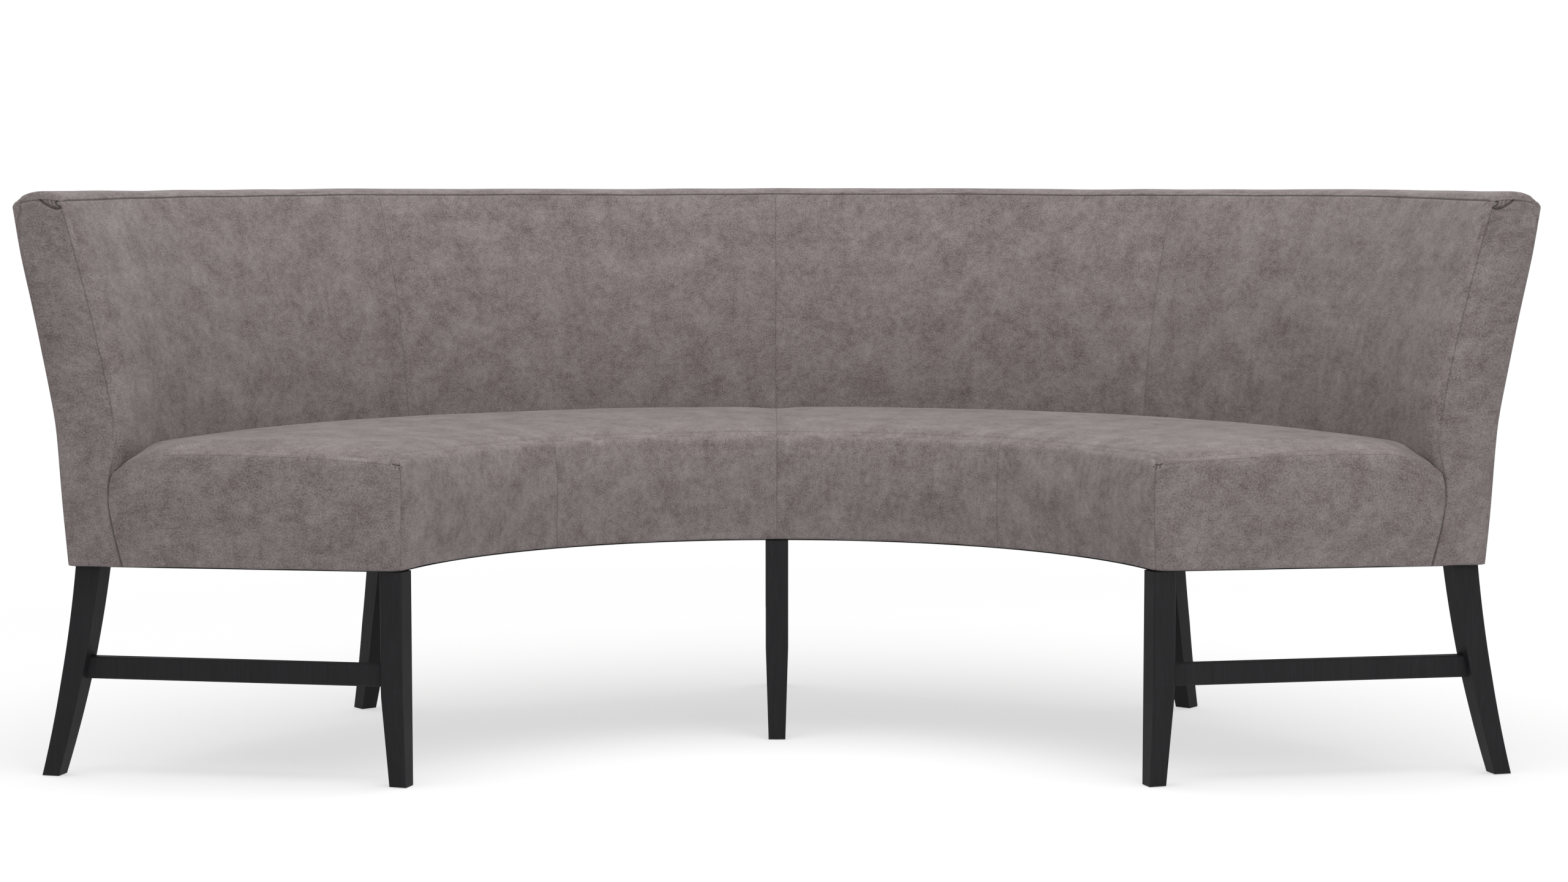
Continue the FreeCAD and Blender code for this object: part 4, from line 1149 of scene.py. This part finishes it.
def make_studio():
    """Floor, soft lamps and a white surround."""
    make_floor()
    soft_lamp("overhead_lamp", (0.0, -0.6, 3.6), (0, -0.1, 0), (4.5, 3.0), 100)
    soft_lamp("front_lamp", (1.8, -5.0, 2.4), (0.15, 0, 0.5), (3.5, 2.5), 69)
    make_surround()
    bpy.context.scene.view_settings.view_transform = "Standard"


def dress(piece, finishes):
    """Puts finishes on a piece in the order of its faces' numbers."""
    piece.data.materials.clear()
    for finish in finishes:
        piece.data.materials.append(finish)


# Threads and staples

STITCH_SIZES = {"Step": 0.0038, "Length": 0.0023, "Thickness": 0.0005}
STAPLE_SIZES = {"Step": 0.045, "Length": 0.010, "Thickness": 0.0011}
THREAD_PROUD = 0.0001
PATH_STEP = 0.006


def laying_tree(finish):
    """A node tree that lays short rounded bits along the paths of a mesh, each in line with its path."""
    group = bpy.data.node_groups.new("laid_along", "GeometryNodeTree")
    group.interface.new_socket("Paths", in_out="INPUT", socket_type="NodeSocketGeometry")
    for name in STITCH_SIZES:
        group.interface.new_socket(name, in_out="INPUT", socket_type="NodeSocketFloat")
    group.interface.new_socket("Laid", in_out="OUTPUT", socket_type="NodeSocketGeometry")
    tree = Tree(group)
    paths, step, length, thick = [tree.add("NodeGroupInput", output=name)
                                  for name in ("Paths", *STITCH_SIZES)]
    curve = tree.add("GeometryNodeMeshToCurve", {}, {"Mesh": paths})
    steps = tree.add("GeometryNodeResampleCurve", {"mode": "LENGTH"}, {"Curve": curve, "Length": step})
    bit = tree.add("GeometryNodeMeshUVSphere", {}, {"Segments": 6, "Rings": 4, "Radius": 0.5})
    size = tree.add("ShaderNodeCombineXYZ", {}, {"X": length, "Y": thick, "Z": thick})
    shaped = tree.add("GeometryNodeTransform", {}, {"Geometry": bit, "Scale": size})
    along = tree.add("GeometryNodeInputTangent")
    turn = tree.add("FunctionNodeAlignRotationToVector", {"axis": "X"}, {"Vector": along})
    placed = tree.add("GeometryNodeInstanceOnPoints", {},
                      {"Points": steps, "Instance": shaped, "Rotation": turn})
    real = tree.add("GeometryNodeRealizeInstances", {}, {"Geometry": placed})
    smooth = tree.add("GeometryNodeSetShadeSmooth", {}, {"Geometry": real})
    painted = tree.add("GeometryNodeSetMaterial", {}, {"Geometry": smooth, "Material": finish})
    tree.add("NodeGroupOutput", {}, {"Laid": painted})
    return group


def laid_along(name, paths, sizes, finish):
    """A plain mesh of bits laid along paths by the node tree."""
    places = [place for path in paths for place in path]
    starts = np.cumsum([0] + [len(path) for path in paths])
    edges = [(n, n + 1) for start, path in zip(starts, paths) for n in range(start, start + len(path) - 1)]
    mesh = bpy.data.meshes.new(name + "_paths")
    mesh.from_pydata(places, edges, [])
    guide = add_object(name + "_paths", mesh)
    modifier = guide.modifiers.new("laid", "NODES")
    modifier.node_group = laying_tree(finish)
    for item in modifier.node_group.interface.items_tree:
        if item.name in sizes:
            modifier[item.identifier] = sizes[item.name]
    graph = bpy.context.evaluated_depsgraph_get()
    made = bpy.data.meshes.new_from_object(guide.evaluated_get(graph), depsgraph=graph)
    bpy.data.objects.remove(guide)
    return add_object(name, made)


def seam_paths(piece, pad, seams):
    """The sewn lines of a pad as paths that lie in the grooves of its cover."""
    surface = BVHTree.FromObject(piece, bpy.context.evaluated_depsgraph_get())
    paths = []
    for start, end in [run for item in seams if item["sewn"] for run in runs_of(item)]:
        steps = max(2, round(math.dist(start, end) / PATH_STEP))
        shares = np.linspace(0, 1, steps + 1)[:, None]
        spots = np.array(start) * (1 - shares) + np.array(end) * shares
        found = [surface.find_nearest(Vector(guess)) for guess in pad.bent(pad.softened(spots))]
        paths.append([place + facing * THREAD_PROUD for place, facing, _, _ in found])
    return paths


def make_stitches(seat, back):
    """The thread that shows in the seams of both pads."""
    paths = seam_paths(seat, seat_pad, seat_seams()) + seam_paths(back, back_pad, back_seams())
    return laid_along("seam_stitches", paths, STITCH_SIZES, thread)


# Underside

DUST_MARGIN = 0.006
DUST_INNER = FRONT_RADIUS + DUST_MARGIN
DUST_OUTER = OUTSIDE_RADII[0] - DUST_MARGIN
DUST_HEIGHT = 0.3225
DUST_SAG = 0.003
DUST_WALL = 0.5 * MILLIMETRE
DUST_LINES = (121, 25)
DUST_OPEN = (0.1, 0.72)
DUST_BAYS = 4
DUST_RIPPLE = 0.15
DUST_STRIPS = 50
STAPLE_DEPTH = 0.0004
STAPLE_MARGIN = 0.015
STAPLE_TURN = 0.5
STAPLE_END_TURN = 1
LEG_ROOM = 0.035
FRONT_LEG_ANGLES = [0, 71.4, -71.4]
REAR_LEG_ANGLES = [0, 38.2, -38.2, 75.15, -75.15]


def dust_place(share, deep):
    """A place on the dust cover in plan, by its shares along and across the arc."""
    radius = DUST_INNER + deep * (DUST_OUTER - DUST_INNER)
    end = end_angle(radius) - DUST_MARGIN / radius
    return (2 * share - 1) * end, radius


def make_dust_cover():
    """Thin black cloth stretched under the frame, hanging a little between the rails."""
    shares, deeps = np.meshgrid(*[np.linspace(0, 1, lines) for lines in DUST_LINES], indexing="ij")
    angle, radius = dust_place(shares, deeps)
    between = bow(rising(deeps, *DUST_OPEN)) * np.sqrt(np.abs(np.sin(shares * DUST_BAYS * math.pi)))
    sag = DUST_SAG * between * (1 + DUST_RIPPLE * ripple(angle * radius))
    places = on_plan(angle, radius, DUST_HEIGHT - sag)
    rows, columns = shares.shape
    number = np.arange(rows * columns).reshape(rows, columns)
    ring = [number[:-1, :-1], number[:-1, 1:], number[1:, 1:], number[1:, :-1]]
    mesh = bpy.data.meshes.new("dust_cloth")
    mesh.from_pydata(places.reshape(-1, 3).tolist(), [], np.stack(ring, axis=-1).reshape(-1, 4).tolist())
    mesh.shade_smooth()
    piece = add_object("dust_cloth", mesh)
    wall = piece.modifiers.new("wall", "SOLIDIFY")
    wall.thickness = DUST_WALL
    wall.offset = 0
    return piece


def dust_area():
    """The flat area of the dust cover."""
    angle, radius = dust_place(1, (np.arange(DUST_STRIPS) + 0.5) / DUST_STRIPS)
    return float(np.mean(2 * angle * radius)) * (DUST_OUTER - DUST_INNER)


def staple_paths():
    """Runs of staples along both curved rims of the dust cover, between the legs."""
    paths = []
    for deep, legs in ((STAPLE_MARGIN, FRONT_LEG_ANGLES), (1 - STAPLE_MARGIN, REAR_LEG_ANGLES)):
        end, radius = dust_place(1, deep)
        last, room = math.degrees(end), math.degrees(LEG_ROOM / radius)
        past = last + room - STAPLE_END_TURN
        stops = sorted([-past, *legs, past])
        for left, right in zip(stops, stops[1:]):
            turns = np.radians(np.arange(left + room, right - room, STAPLE_TURN))
            if len(turns) > 2:
                spots = on_plan(turns, radius, np.full(len(turns), DUST_HEIGHT - STAPLE_DEPTH))
                paths.append([tuple(spot) for spot in spots])
    return paths


def both_nodes(*parts):
    """The names of the left and right nodes of these parts."""
    return [f"{part}_{side}" for side in ("left", "right") for part in parts]


SEAT_NODES = ["seat_foam",
              *both_nodes("seat_cover_top", "seat_border", "seat_border_outer", "seat_end_panel")]
BACK_NODES = ["back_foam", "back_top_band",
              *both_nodes("back_inside", "back_inside_outer", "back_outside", "back_end_cap")]

seat_cover = cover_finish("suede_look_seat_cover", seat_gathers())
back_cover = cover_finish("suede_look_back_cover", back_gathers())
foam, leg_wood = foam_finish(), leg_finish()
timber, nylon = timber_finish(), glide_finish()
thread, wire = thread_finish(), wire_finish()
dust_cloth, jute = dust_cloth_finish(), webbing_finish()
SLOT_FINISHES = {"leg_wood": leg_wood, "frame_timber": timber, "glide": nylon, "webbing": jute,
                 "dust_cloth": dust_cloth, "cover": seat_cover, "foam": foam}


def dress_nodes():
    """A finish on every node that is carried over from the frame."""
    for part in frame["record"]["subparts"]:
        dress(frame["nodes"][part["node"]], [SLOT_FINISHES[part["material_slot"]]])


make_camera()
make_studio()
dress_nodes()
seat, back = make_seat(), make_back()
for made, nodes, cover in ((seat, SEAT_NODES, seat_cover), (back, BACK_NODES, back_cover)):
    dress(made, [cover, foam])
    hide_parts(*nodes)
    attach(made, "root")

stitches = make_stitches(seat, back)
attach(stitches, "root")

dust_cover = make_dust_cover()
dress(dust_cover, [dust_cloth])
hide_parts("dust_cover")
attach(dust_cover, "root")
dust_area()

staples = laid_along("dust_cover_staples", staple_paths(), STAPLE_SIZES, wire)
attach(staples, "root")
